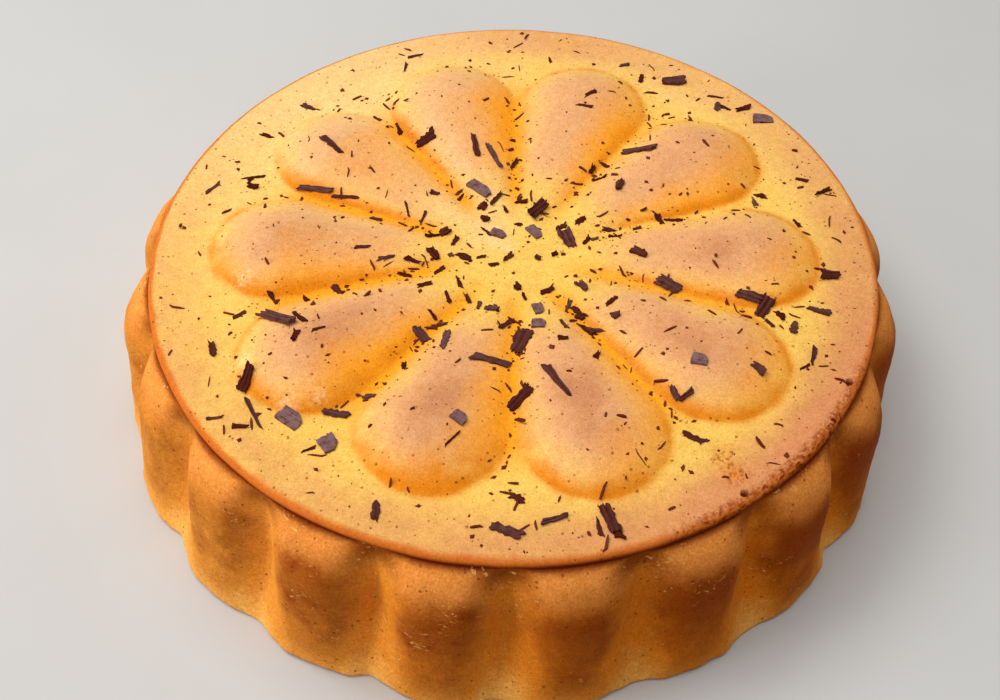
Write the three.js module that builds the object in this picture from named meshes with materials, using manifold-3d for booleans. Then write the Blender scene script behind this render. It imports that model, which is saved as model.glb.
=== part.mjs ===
// Savoy sponge cake turned out of a flower mould: a fluted drum under a flat rim, with a crown of
// swelling petals on top and dark chocolate shavings strewn over it. One solid, uncut.
// Millimetres, +Z up, the base on Z = 0 and centred on the origin.
import * as THREE from "three";
import { mergeVertices } from "three/addons/utils/BufferGeometryUtils.js";
import Module from "manifold-3d";

// Driving dimensions of the drum
const RIM_RADIUS = 107.9;
const RING_HEIGHT = 54;
const EDGE_ROUND = 2;
const LIP_BOTTOM = 51.6;
const LIP_TAPER = 0.3;
const NECK_RADIUS = 107.2;
const NECK_HEIGHT = 51.2;
const SHOULDER_RADIUS = 117.3;
const SHOULDER_HEIGHT = 34;
const SHOULDER_SLOPE = 1.6;
const SHOULDER_SWELL = 0.7;
const FOOT_ROUND = 1.5;
const LEAN = 1.8;
const LEAN_WAY = THREE.MathUtils.degToRad(41);
const OUT_OF_ROUND = 0.003;
const LONG_WAY = THREE.MathUtils.degToRad(58);

// Flutes round the side: grooves and crests lean out, then flare into the foot
const FLUTES = 20;
const FLUTE_TURN = THREE.MathUtils.degToRad(9);
const FLUTE_BREADTH = 1.8;
const FLUTE_FILL = 0.65;
const FLUTE_UNEVEN = 0.03;
const FLUTE_BEAT = 1.7;
const GROOVE_SPREAD = 1.8;
const GROOVE_FLARE = 9.6;
const CREST_SPREAD = 2.4;
const CREST_FLARE = 1;
const FLARE_START = 0.45;
const FLARE_POWER = 1.7;

// Petals of the crown: a round end with straight sides that run to a tip near the axis
const PETALS = 10;
const PETAL_CENTRE = 70;
const PETAL_TIP = 2;
const PETAL_HALF_ANGLE = THREE.MathUtils.degToRad(17.7);
const PETAL_RISE = 5.8;
const PETAL_DOME = 2.1;
const PETAL_UNEVEN = 0.05;
const PETAL_BEAT = 2.4;
const RIDGE_START = 12;
const RIDGE_POWER = 1.1;
const CROWN_SHIFT = -2.2;
const CROWN_HOLD = 12;

// How finely the drum is turned
const TURN_STEPS = 160;
const CROWN_SHARES = [1, 0.95, 0.88, 0.79, 0.69, 0.58, 0.47, 0.36, 0.25, 0.15];
const RING_MIDDLE = 97;
const SHOULDER_STEPS = 4;
const WALL_HEIGHTS = [FOOT_ROUND, 7, 14, 24];
const BELOW_BASE = 3;
const FOOT_INSET = 6;

// Chocolate shavings
const SHAVING_THICKNESS = 1.7;
const SHAVING_SUNK = 0.7;
const SHAVING_SLANT = 0.22;
const SMALL_SHAVINGS = 48;
const SMALL_LENGTH = [3, 7];
const SMALL_WIDTH = [1.2, 2.5];
const SCATTER_SEED = 20;
const VALLEY_HALF_WIDTH = 2;
const CENTRE_PATCH = 26;
const VALLEY_REACH = 88;
const RING_INNER = 92;
const RING_OUTER = 102;

// The largest shavings where they lie on the top: x, y, heading in degrees, length, width
const LARGE_SHAVINGS = [
  [2, -35, 72, 9, 6],
  [-6, -43, -4, 12, 2.5],
  [12, -51, -59, 14, 2.5],
  [2, -55, 50, 9, 4],
  [-1, -97, -19, 9, 3],
  [11, -93, 22, 8, 1.5],
  [25, -93, -67, 9.5, 3.5],
  [44, -53, -70, 5, 2],
  [47, -54, 40, 5, 2],
  [51, -44, -10, 5, 4],
  [67, -46, -30, 4.5, 3],
  [84, -38, 74, 6.5, 1.6],
  [88, -21, -17, 7, 2.2],
  [93, -7, 0, 6, 4],
  [68, -17, -15, 8, 3],
  [72, -20, 65, 8, 4.5],
  [45, -12, -30, 8, 4],
  [37, -1, -30, 5, 3],
  [-66, -31, -35, 15, 3.5],
  [-72, -51, 70, 8.5, 3.5],
  [-69, -62, -60, 12, 1.5],
  [-59, -63, -30, 8, 5.5],
  [-48, -71, -50, 5.5, 5.5],
  [-47, -61, -8, 8, 2.2],
  [-26, -33, -45, 6.5, 3.2],
  [-19, -36, 82, 8, 2.2],
  [-14, -65, -30, 5, 4],
  [-11, 26, -35, 9, 4],
  [-7, 40, -63, 11, 1.8],
  [-13, 44, -78, 10, 2.4],
  [-29, 48, 35, 7.5, 4],
  [-58, 40, -45, 10, 2.2],
  [-62, 24, -10, 12, 2],
  [7, 18, 55, 8, 4],
  [6, 9, -45, 6, 3.5],
  [16, 6, -65, 8, 4.5],
  [-5, 8, -20, 5.5, 3.5],
  [39, 44, -10, 12, 3],
  [53, 81, 10, 8, 5],
  [81, 62, 5, 7.5, 4.5],
];

const TAU = 2 * Math.PI;
const DRAW_FACTOR = 48271;
const DRAW_MODULUS = 2147483647;
const wasm = await Module();
wasm.setup();

// Seeded draws between 0 and 1
function seededDraws(seed) {
  let state = seed;
  return () => {
    state = (state * DRAW_FACTOR) % DRAW_MODULUS;
    return state / DRAW_MODULUS;
  };
}

function between(range, draw) {
  return range[0] + (range[1] - range[0]) * draw;
}

// How far the wall has flared out at a height: 0 above the flare, 1 at the base
function flare(height) {
  const depth = 1 - height / NECK_HEIGHT;
  return Math.max(0, (depth - FLARE_START) / (1 - FLARE_START)) ** FLARE_POWER;
}

// Radius at the bottom of a groove
function grooveRadius(height) {
  const depth = 1 - height / NECK_HEIGHT;
  return NECK_RADIUS + GROOVE_SPREAD * depth + GROOVE_FLARE * flare(height);
}

// Radius along the crest of a flute below its shoulder
function crestRadius(height) {
  const depth = 1 - height / SHOULDER_HEIGHT;
  return SHOULDER_RADIUS + CREST_SPREAD * depth + CREST_FLARE * flare(height);
}

// How much of a flute's swell is reached at an angle: 0 in a groove, 1 over its broad crest
function fluteWave(angle) {
  const turn = FLUTES * (angle - FLUTE_TURN);
  const number = Math.round(turn / TAU);
  const aside = (1 - Math.cos(turn)) / 2;
  const wave = (1 - aside ** FLUTE_BREADTH) ** FLUTE_FILL;
  return wave * (1 + FLUTE_UNEVEN * Math.sin(FLUTE_BEAT * number));
}

// The petal nearest to an angle, and how far the angle is from its middle line
function nearestPetal(angle) {
  const turn = (angle * PETALS) / TAU;
  const nearest = Math.round(turn);
  return {
    number: THREE.MathUtils.euclideanModulo(nearest, PETALS),
    away: ((turn - nearest) * TAU) / PETALS,
  };
}

// Height of the petals above the flat ring
function petalHeight(x, y) {
  const { number, away } = nearestPetal(Math.atan2(y, x));
  const radius = Math.hypot(x, y);
  const along = radius * Math.cos(away);
  const aside = Math.abs(radius * Math.sin(away));
  const sine = Math.sin(PETAL_HALF_ANGLE);
  const onRoundEnd = Math.atan2(aside, along - PETAL_CENTRE) < Math.PI / 2 + PETAL_HALF_ANGLE;
  const foot = onRoundEnd ? PETAL_CENTRE : along + aside * Math.tan(PETAL_HALF_ANGLE);
  const halfWidth = (foot - PETAL_TIP) * sine;
  const inward = onRoundEnd
    ? halfWidth - Math.hypot(along - PETAL_CENTRE, aside)
    : (along - PETAL_TIP) * sine - aside * Math.cos(PETAL_HALF_ANGLE);
  if (halfWidth <= 0 || inward <= 0 || foot <= RIDGE_START) return 0;
  const ridge = ((foot - RIDGE_START) / (PETAL_CENTRE - RIDGE_START)) ** RIDGE_POWER;
  const dome = 1 - (1 - inward / halfWidth) ** PETAL_DOME;
  return PETAL_RISE * ridge * dome * (1 + PETAL_UNEVEN * Math.sin(PETAL_BEAT * number));
}

function topHeight(x, y) {
  return RING_HEIGHT + petalHeight(x, y);
}

// How far the crown stands to one side of the rim's middle, fading out towards the rim
function crownShift(x, y, z) {
  if (z < RING_HEIGHT) return 0;
  const share = Math.hypot(x, y) / (RIM_RADIUS - EDGE_ROUND);
  return CROWN_SHIFT * Math.max(0, 1 - share ** CROWN_HOLD);
}

// A point of the true round drum, moved to where the slightly oval, leaning cake has it
function inPlace(x, y, z) {
  const stretch = 1 + OUT_OF_ROUND * Math.cos(2 * (Math.atan2(y, x) - LONG_WAY));
  const lean = (LEAN * z) / RING_HEIGHT;
  const leanX = lean * Math.cos(LEAN_WAY);
  const leanY = lean * Math.sin(LEAN_WAY) + crownShift(x, y, z);
  return new THREE.Vector3(x * stretch + leanX, y * stretch + leanY, z);
}

// Distance from the axis to the outer end of the petals, down to the notches between them
function petalReach(angle) {
  const { away } = nearestPetal(angle);
  const endRadius = (PETAL_CENTRE - PETAL_TIP) * Math.sin(PETAL_HALF_ANGLE);
  const aside = Math.min(PETAL_CENTRE * Math.abs(Math.sin(away)), endRadius);
  return Math.sqrt(PETAL_CENTRE ** 2 - aside ** 2) + Math.sqrt(endRadius ** 2 - aside ** 2);
}

// The turned profile from the axis below the base to the axis on top.
// Each ring has a height and a reach, which is its radius at an angle.
function drumProfile() {
  const rings = [];
  const ring = (height, reach) => rings.push({ height, reach });
  const circle = (height, radius) => ring(height, () => radius);
  const fluted = (height, groove, crest) => {
    ring(height, (angle) => groove + (crest - groove) * fluteWave(angle));
  };
  const wall = (height, crest) => fluted(height, grooveRadius(height), crest);
  circle(-BELOW_BASE, 0);
  fluted(-BELOW_BASE, grooveRadius(0) - FOOT_INSET, crestRadius(0) - FOOT_INSET);
  for (const height of WALL_HEIGHTS) wall(height, crestRadius(height));
  for (let step = SHOULDER_STEPS; step > 0; step--) {
    const climb = Math.cos((step / SHOULDER_STEPS) * (Math.PI / 2));
    const height = SHOULDER_HEIGHT + (NECK_HEIGHT - SHOULDER_HEIGHT) * climb;
    const swell = (1 - climb ** SHOULDER_SLOPE) ** SHOULDER_SWELL;
    wall(height, NECK_RADIUS + (SHOULDER_RADIUS - NECK_RADIUS) * swell);
  }
  circle(NECK_HEIGHT, NECK_RADIUS);
  circle(LIP_BOTTOM, RIM_RADIUS - LIP_TAPER);
  for (const turn of [0, Math.PI / 4, Math.PI / 2]) {
    const inset = EDGE_ROUND * (1 - Math.cos(turn));
    circle(RING_HEIGHT - EDGE_ROUND * (1 - Math.sin(turn)), RIM_RADIUS - inset);
  }
  circle(RING_HEIGHT, RING_MIDDLE);
  for (const share of CROWN_SHARES) ring(RING_HEIGHT, (angle) => share * petalReach(angle));
  circle(RING_HEIGHT, 0);
  return rings;
}

// The drum: the profile turned about Z, its side swollen into flutes and its top into petals
function drumGeometry() {
  const rings = drumProfile();
  const points = rings.map((ring) => new THREE.Vector2(ring.reach(0), ring.height));
  const geometry = new THREE.LatheGeometry(points, TURN_STEPS).rotateX(Math.PI / 2);
  const position = geometry.getAttribute("position");
  for (let index = 0; index < position.count; index++) {
    const { height, reach } = rings[index % rings.length];
    const angle = Math.atan2(position.getY(index), position.getX(index));
    const x = reach(angle) * Math.cos(angle);
    const y = reach(angle) * Math.sin(angle);
    const z = height === RING_HEIGHT ? topHeight(x, y) : height;
    const placed = inPlace(x, y, z);
    position.setXYZ(index, placed.x, placed.y, placed.z);
  }
  return geometry;
}

// A shaving: a flat splinter with slanted ends, laid on the top along its mean slope
function shavingGeometry([x, y, heading, length, width]) {
  const half = length / 2;
  const side = width / 2;
  const cut = 1 - SHAVING_SLANT;
  const outline = new THREE.Shape();
  outline.moveTo(-half, -side * cut);
  outline.lineTo(half * cut, -side);
  outline.lineTo(half, side * cut);
  outline.lineTo(-half * cut, side);
  outline.closePath();
  const geometry = new THREE.ExtrudeGeometry(outline, { depth: SHAVING_THICKNESS, bevelEnabled: false });

  const reach = length / 3;
  const slopeX = (topHeight(x + reach, y) - topHeight(x - reach, y)) / (2 * reach);
  const slopeY = (topHeight(x, y + reach) - topHeight(x, y - reach)) / (2 * reach);
  const normal = new THREE.Vector3(-slopeX, -slopeY, 1).normalize();
  const turn = THREE.MathUtils.degToRad(heading);
  const across = normal.clone().cross(new THREE.Vector3(Math.cos(turn), Math.sin(turn), 0)).normalize();
  const along = across.clone().cross(normal);
  const place = inPlace(x, y, topHeight(x, y)).addScaledVector(normal, -SHAVING_SUNK);
  return geometry.applyMatrix4(new THREE.Matrix4().makeBasis(along, across, normal).setPosition(place));
}

// The smaller shavings: thickest in the centre and along the valleys, thinner on the ring
function scatteredShavings() {
  const draw = seededDraws(SCATTER_SEED);
  const shavings = [];
  for (let index = 0; index < SMALL_SHAVINGS; index++) {
    const valley = ((Math.floor(draw() * PETALS) + 0.5) * TAU) / PETALS;
    const zone = index % 4;
    let radius = between([RING_INNER, RING_OUTER], draw());
    let angle = draw() * TAU;
    if (zone < 2) {
      radius = between([CENTRE_PATCH, VALLEY_REACH], draw());
      angle = valley + between([-VALLEY_HALF_WIDTH, VALLEY_HALF_WIDTH], draw()) / radius;
    } else if (zone === 2) {
      radius = CENTRE_PATCH * Math.sqrt(draw());
    }
    const heading = 360 * draw();
    const length = between(SMALL_LENGTH, draw());
    const width = between(SMALL_WIDTH, draw());
    shavings.push([radius * Math.cos(angle), radius * Math.sin(angle), heading, length, width]);
  }
  return shavings;
}

function solidFrom(geometry) {
  geometry.deleteAttribute("normal");
  geometry.deleteAttribute("uv");
  const merged = mergeVertices(geometry);
  const vertProperties = new Float32Array(merged.getAttribute("position").array);
  const triVerts = new Uint32Array(merged.index.array);
  return new wasm.Manifold(new wasm.Mesh({ numProp: 3, vertProperties, triVerts }));
}

function geometryFrom(solid) {
  const mesh = solid.getMesh();
  const geometry = new THREE.BufferGeometry();
  geometry.setAttribute("position", new THREE.BufferAttribute(mesh.vertProperties, 3));
  geometry.setIndex(new THREE.BufferAttribute(mesh.triVerts, 1));
  geometry.computeVertexNormals();
  return geometry;
}

// The drum cut flat at its base, with the shavings stuck to its top
function spongeCake() {
  const size = 3 * RIM_RADIUS;
  const below = new THREE.BoxGeometry(size, size, 2 * BELOW_BASE).translate(0, 0, -BELOW_BASE);
  let solid = solidFrom(drumGeometry()).subtract(solidFrom(below));
  for (const shaving of [...LARGE_SHAVINGS, ...scatteredShavings()]) {
    solid = solid.add(solidFrom(shavingGeometry(shaving)));
  }
  const crust = new THREE.MeshStandardMaterial({ color: 0xd99448, roughness: 0.75, metalness: 0 });
  const mesh = new THREE.Mesh(geometryFrom(solid), crust);
  mesh.name = "sponge_cake";
  return mesh;
}

const cake = new THREE.Group();
cake.add(spongeCake());

export default cake;
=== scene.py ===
"""Savoy sponge cake turned out of a flower mould and strewn with dark chocolate.

Laid out as an add-on. Its sidebar tab has a button for the sponge, one for the shavings, one for
the finer chocolate and one for the stage. Lengths are in metres, +Z is up and the cake stands on
Z = 0.
"""
import math
from dataclasses import dataclass

import bmesh
import bpy
import numpy as np
from bpy.props import FloatProperty, FloatVectorProperty, IntProperty, PointerProperty
from mathutils import Matrix, Vector, noise
from mathutils.bvhtree import BVHTree


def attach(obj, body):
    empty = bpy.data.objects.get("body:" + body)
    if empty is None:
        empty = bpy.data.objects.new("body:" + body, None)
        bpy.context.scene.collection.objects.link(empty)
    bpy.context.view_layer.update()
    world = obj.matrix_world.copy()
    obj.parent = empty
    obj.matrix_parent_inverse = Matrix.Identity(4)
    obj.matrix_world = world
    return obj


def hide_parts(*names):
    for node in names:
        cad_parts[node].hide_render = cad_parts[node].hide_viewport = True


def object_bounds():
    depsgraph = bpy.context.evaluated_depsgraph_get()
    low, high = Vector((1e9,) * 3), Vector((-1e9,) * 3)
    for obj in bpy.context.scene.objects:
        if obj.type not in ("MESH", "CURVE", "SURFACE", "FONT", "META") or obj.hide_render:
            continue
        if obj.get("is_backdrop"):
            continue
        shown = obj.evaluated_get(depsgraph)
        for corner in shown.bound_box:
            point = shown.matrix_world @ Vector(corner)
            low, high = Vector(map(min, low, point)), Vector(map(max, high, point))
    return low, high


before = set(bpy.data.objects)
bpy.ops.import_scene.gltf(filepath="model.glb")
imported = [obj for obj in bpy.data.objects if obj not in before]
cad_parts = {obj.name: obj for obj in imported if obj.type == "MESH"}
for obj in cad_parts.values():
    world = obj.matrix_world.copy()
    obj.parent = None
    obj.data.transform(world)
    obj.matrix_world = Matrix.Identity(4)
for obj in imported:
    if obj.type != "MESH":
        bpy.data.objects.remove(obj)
CAD_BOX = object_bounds()

bl_info = {
    "name": "Savoy sponge cake",
    "version": (1, 0, 0),
    "blender": (4, 5, 0),
    "location": "3D View > Sidebar > Savoy cake",
    "description": "Bakes a fluted flower-mould sponge and strews it with dark chocolate",
    "category": "Add Mesh",
}

MM = 0.001
TAU = math.tau
TINY = 1e-7
BODY = "root"
CAKE_NODE = "sponge_cake"
SPONGE_PIECE = "baked_sponge"


def linear(*channels):
    """A colour as light, from red, green and blue of 0 to 255 as a screen shows them."""
    shares = [channel / 255 for channel in channels]
    return tuple(s / 12.92 if s <= 0.04045 else ((s + 0.055) / 1.055) ** 2.4 for s in shares)


def length(name, description, millimetres):
    return FloatProperty(
        name=name, description=description, default=millimetres * MM, unit="LENGTH", precision=5
    )


def turn(name, description, degrees):
    return FloatProperty(
        name=name, description=description, default=math.radians(degrees), subtype="ANGLE"
    )


def amount(name, description, default):
    return FloatProperty(name=name, description=description, default=default)


def count(name, description, default):
    return IntProperty(name=name, description=description, default=default, min=0)


def colour(name, description, red, green, blue):
    return FloatVectorProperty(
        name=name,
        description=description,
        default=linear(red, green, blue),
        size=3,
        subtype="COLOR",
        min=0,
        max=1,
    )


class SpongeForm(bpy.types.PropertyGroup):
    """Sizes of the drum, its flutes and its petals"""

    rim_radius: length("Rim radius", "Radius of the flat rim", 107.9)
    ring_height: length("Ring height", "Height of the flat ring round the petals", 54)
    edge_round: length("Edge round", "Rounding of the rim's upper edge", 2)
    lip_bottom: length("Lip bottom", "Height of the underside of the rim", 51.6)
    lip_taper: length("Lip taper", "How far the rim draws in at its underside", 0.3)
    neck_radius: length("Neck radius", "Radius of the neck under the rim", 107.2)
    neck_height: length("Neck height", "Height of the neck under the rim", 51.2)
    shoulder_radius: length("Shoulder radius", "Radius of the flutes at their shoulders", 117.3)
    shoulder_height: length("Shoulder height", "Height where the shoulders start", 34)
    shoulder_slope: amount("Shoulder slope", "The lower, the sooner the shoulders draw in", 1.6)
    shoulder_swell: amount("Shoulder swell", "The lower, the rounder the shoulders", 0.7)
    foot_round: length("Foot round", "Height of the rounded foot", 2.2)
    foot_inset: length("Foot inset", "How far the rounded foot draws in at the base", 2)
    lean: length("Lean", "How far the rim stands to one side of the base", 1.8)
    lean_way: turn("Lean way", "Direction in which the rim leans", 41)
    out_of_round: amount("Out of round", "Share by which the cake is longer one way", 0.003)
    long_way: turn("Long way", "Direction in which the cake is longest", 58)

    flutes: count("Flutes", "Flutes round the side", 20)
    flute_turn: turn("Flute turn", "Direction of the first flute", 9)
    flute_breadth: amount("Flute breadth", "The higher, the flatter the crests", 1.8)
    flute_fill: amount("Flute fill", "The lower, the narrower the grooves", 0.65)
    flute_uneven: amount("Flute unevenness", "Share by which flutes differ in depth", 0.03)
    flute_beat: amount("Flute beat", "How the depth changes from flute to flute", 1.7)
    groove_spread: length("Groove spread", "How far the grooves lean out down the side", 1.8)
    groove_flare: length("Groove flare", "How far the grooves flare into the foot", 9.6)
    crest_spread: length("Crest spread", "How far the crests lean out down the side", 2.4)
    crest_flare: length("Crest flare", "How far the crests flare into the foot", 1)
    flare_start: amount("Flare start", "Share of the way down where the flare starts", 0.45)
    flare_power: amount("Flare power", "How late the flare comes", 1.7)

    petals: count("Petals", "Petals of the crown", 10)
    petal_centre: length("Petal centre", "Distance of the petals' round ends from the axis", 70)
    petal_tip: length("Petal tip", "Distance of the petals' tips from the axis", 2)
    petal_half_angle: turn("Petal half angle", "Half the angle between a petal's sides", 17.7)
    petal_rise: length("Petal rise", "Height of the petals above the ring", 5.8)
    petal_dome: amount("Petal dome", "Above 1 the petals are domed", 2.1)
    petal_uneven: amount("Petal unevenness", "Share by which petals differ in height", 0.05)
    petal_beat: amount("Petal beat", "How the height changes from petal to petal", 2.4)
    petal_crease: length("Petal crease", "Softness of the crease round the petals", 1)
    ridge_start: length("Ridge start", "Distance from the axis where the petals start to rise", 12)
    ridge_power: amount("Ridge power", "Above 1 the petals rise late", 1.1)
    crown_shift: length("Crown shift", "How far the petals stand behind the rim's middle", -2.2)
    crown_hold: amount("Crown hold", "How late the shift fades out towards the rim", 12)

    turn_steps: count("Turn steps", "Steps of the turned mesh round the axis", 560)


class CrustRelief(bpy.types.PropertyGroup):
    """Unevenness of the baked surface"""

    wave_size: length("Wave size", "Width of the broad unevenness", 15)
    wave_depth: length("Wave depth", "Depth of the broad unevenness", 0.35)
    dimple_size: length("Dimple size", "Width of the small unevenness", 4)
    dimple_depth: length("Dimple depth", "Depth of the small unevenness", 0.13)
    wall_share: amount("Wall share", "How much more uneven the fluted wall is", 1.5)
    foot_lump_size: length("Foot lump size", "Width of the lumps along the foot", 5.5)
    foot_lump_depth: length("Foot lump depth", "Depth of the lumps along the foot", 1.0)
    foot_lump_height: length("Foot lump height", "Height up to which the foot is lumpy", 7)
    crumble_from: turn("Crumbled from", "Direction where the crumbled stretch of rim starts", 288)
    crumble_to: turn("Crumbled to", "Direction where the crumbled stretch of rim ends", 342)
    crumble_fade: turn("Crumble fade", "How gradually the crumbled stretch ends", 14)
    crumble_width: length("Crumble width", "Width of the crumbled stretch on the ring", 2.6)
    crumble_size: length("Crumble size", "Width of the crumbs broken out of the rim", 1.1)
    crumble_depth: length("Crumble depth", "Depth of the crumbled edge", 0.6)
    pit_depth: length("Pit depth", "Depth of the large pits in the ring", 1.5)
    grain_size: length("Grain size", "Size of the skin's grain", 0.55)
    pore_spacing: length("Pore spacing", "Distance between the small pores", 1.6)


class CrustColours(bpy.types.PropertyGroup):
    """Colours of the baked sponge"""

    sponge: colour("Sponge", "Pale sponge of the centre and the inner ring", 244, 212, 106)
    valley: colour("Valley", "Deep yellow between the petals", 248, 176, 18)
    ring: colour("Ring", "Tan of the ring towards the rim", 214, 153, 103)
    crown: colour("Crown", "Pinkish tan of the petals", 226, 178, 126)
    # Pale is a painted highlight on the lit back left of the top, with a paler cream on the back
    # right of the ring
    pale: colour("Pale", "Palest skin of the top, on one side", 250, 223, 157)
    scorch: colour("Scorch", "Darkest brown on the petals' crowns", 172, 102, 76)
    # Gold painted as shade on the petals' flanks that face away from the light
    flank: colour("Flank", "Gold of the petals' flanks", 255, 174, 34)
    # Orange along the petals' outer ends, deepest as painted shade on the ends that fall towards
    # the front
    fringe: colour("Fringe", "Orange along the petals' outer ends", 226, 140, 20)
    groove: colour("Groove", "Gold of the side wall", 222, 136, 30)
    # Paler gold painted as light on the lit left of the side wall
    gilt: colour("Gilt", "Paler gold of the wall, on one side", 240, 176, 74)
    # Tan of the flutes' shoulders, lightened as a painted highlight where their domes face up to
    # the light
    shoulder: colour("Shoulder", "Brown of the flutes' shoulders", 234, 157, 74)
    # Brown of the flutes below the shoulder: partly browning, partly painted shade on walls facing
    # away from the light
    face: colour("Face", "Brown of the flutes below the shoulder", 142, 61, 2)
    foot: colour("Foot", "Pale gold of the foot", 248, 194, 98)
    rim: colour("Rim", "Orange brown of the rim's edge", 208, 114, 34)
    # Dark brown painted as shade under the rim and in the grooves just below it
    under_lip: colour("Under lip", "Dark brown line under the rim", 122, 44, 4)
    flake: colour("Flake", "Pale flakes at some petals' ends", 255, 234, 184)
    crumble: colour("Crumble", "Darker crumb of the broken rim", 158, 78, 20)
    # Dark brown painted as shade inside the pores, the pits and the crumb holes
    pore_shade: colour("Pore", "Dark inside of the pores", 92, 28, 4)
    fleck: colour("Fleck", "Pale scuffs on the side wall", 250, 204, 120)
    base: colour("Base", "Crust of the underside", 196, 128, 62)


class ChocolateSettings(bpy.types.PropertyGroup):
    """Sizes, numbers and colours of the chocolate"""

    sunk: length("Sunk", "How far a shaving is pressed into the sponge", 0.4)
    small_shavings: count("Small shavings", "Shavings strewn by rule", 48)
    splinters: count("Splinters", "Thin splinters strewn over the top", 270)
    specks: count("Specks", "Specks strewn over the top", 820)
    dark: colour("Dark", "Broken faces of the chocolate", 78, 23, 6)
    # A grey painted reflection of the lights on the smooth faces, with some real greying
    bloom: colour("Bloom", "Smooth faces with a grey bloom", 128, 98, 97)
    thin: colour("Thin", "Thin splinters that light shines through", 104, 38, 12)


class StageSettings(bpy.types.PropertyGroup):
    """Floor, light and camera"""

    floor_radius: length("Floor radius", "Radius of the floor", 4000)
    floor: colour("Floor", "Pale floor", 196, 195, 192)
    key_power: amount("Key power", "Power of the softbox on the left, in watts", 7)
    overhead_power: amount("Overhead power", "Power of the broad light overhead, in watts", 18.5)
    side_power: amount("Side power", "Power of the low light on the left, in watts", 7)
    sky_strength: amount("Sky strength", "Strength of the even light from all round", 0.24)
    camera_pitch: turn("Camera pitch", "How far the camera looks down", 50.23)
    camera_roll: turn("Camera roll", "How far the camera is turned about its line of sight", 1.26)
    focal_length: FloatProperty(
        name="Focal length", description="Focal length in millimetres", default=46.55, unit="CAMERA"
    )


# The shavings as they lie on the top: x, y, heading in degrees, length, width, in millimetres

TILES = [
    (-59, -63, -30, 8, 5.5), (-48, -71, -50, 5.5, 5.5), (-14, -65, -30, 5, 4),
    (6, 9, -45, 6, 3.5), (-5, 8, -20, 5.5, 3.5), (-11, 26, -35, 9, 4), (81, 62, 5, 7.5, 4.5),
    (51, -44, -10, 5, 4), (7, -23, -66, 4.3, 3.4), (7, -29, 2, 4.5, 3.6),
]
FOLDS = [
    (2, -35, 72, 9, 6), (2, -55, 50, 9, 4), (25, -93, -67, 9.5, 3.5), (68, -17, -15, 8, 3),
    (72, -20, 65, 8, 4.5), (45, -12, -30, 8, 4), (-66, -31, -35, 15, 3.5),
    (-72, -51, 70, 8.5, 3.5), (-26, -33, -45, 6.5, 3.2), (-29, 48, 35, 7.5, 4),
    (7, 18, 55, 8, 4), (16, 6, -65, 8, 4.5), (53, 81, 10, 8, 5), (93, -7, 0, 6, 4),
]
BARS = [
    (-6, -43, -4, 12, 2.5), (12, -51, -59, 14, 2.5), (-1, -97, -19, 9, 3),
    (11, -93, 22, 8, 1.5), (44, -53, -70, 5, 2), (47, -54, 40, 5, 2), (84, -38, 74, 6.5, 1.6),
    (88, -21, -17, 7, 2.2), (-69, -62, -60, 12, 1.5), (-47, -61, -8, 8, 2.2),
    (-19, -36, 82, 8, 2.2), (-7, 40, -63, 11, 1.8), (-13, 44, -78, 10, 2.4),
    (-58, 40, -45, 10, 2.2), (-62, 24, -10, 12, 2), (39, 44, -10, 12, 3),
]
CHUNKS = [
    (-10, 19, 70, 4.8, 3.8), (-9, 14, 2, 3.5, 3.5), (-21, 8, 35, 4.4, 3.4),
    (-24, -2, -45, 6.8, 3.5), (1, -14, -48, 3.5, 3), (20, -14, -47, 5.7, 3.6),
    (29, -26, 27, 3.5, 3.4), (19, -25, -18, 3.6, 3), (32, 27, 81, 5.5, 4.3),
    (7, -2, -25, 2.4, 2), (12, 0, 40, 2.6, 2.2), (67, -46, -30, 6.2, 4.2),
    (37, -1, -30, 6.9, 4.2),
]
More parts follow.
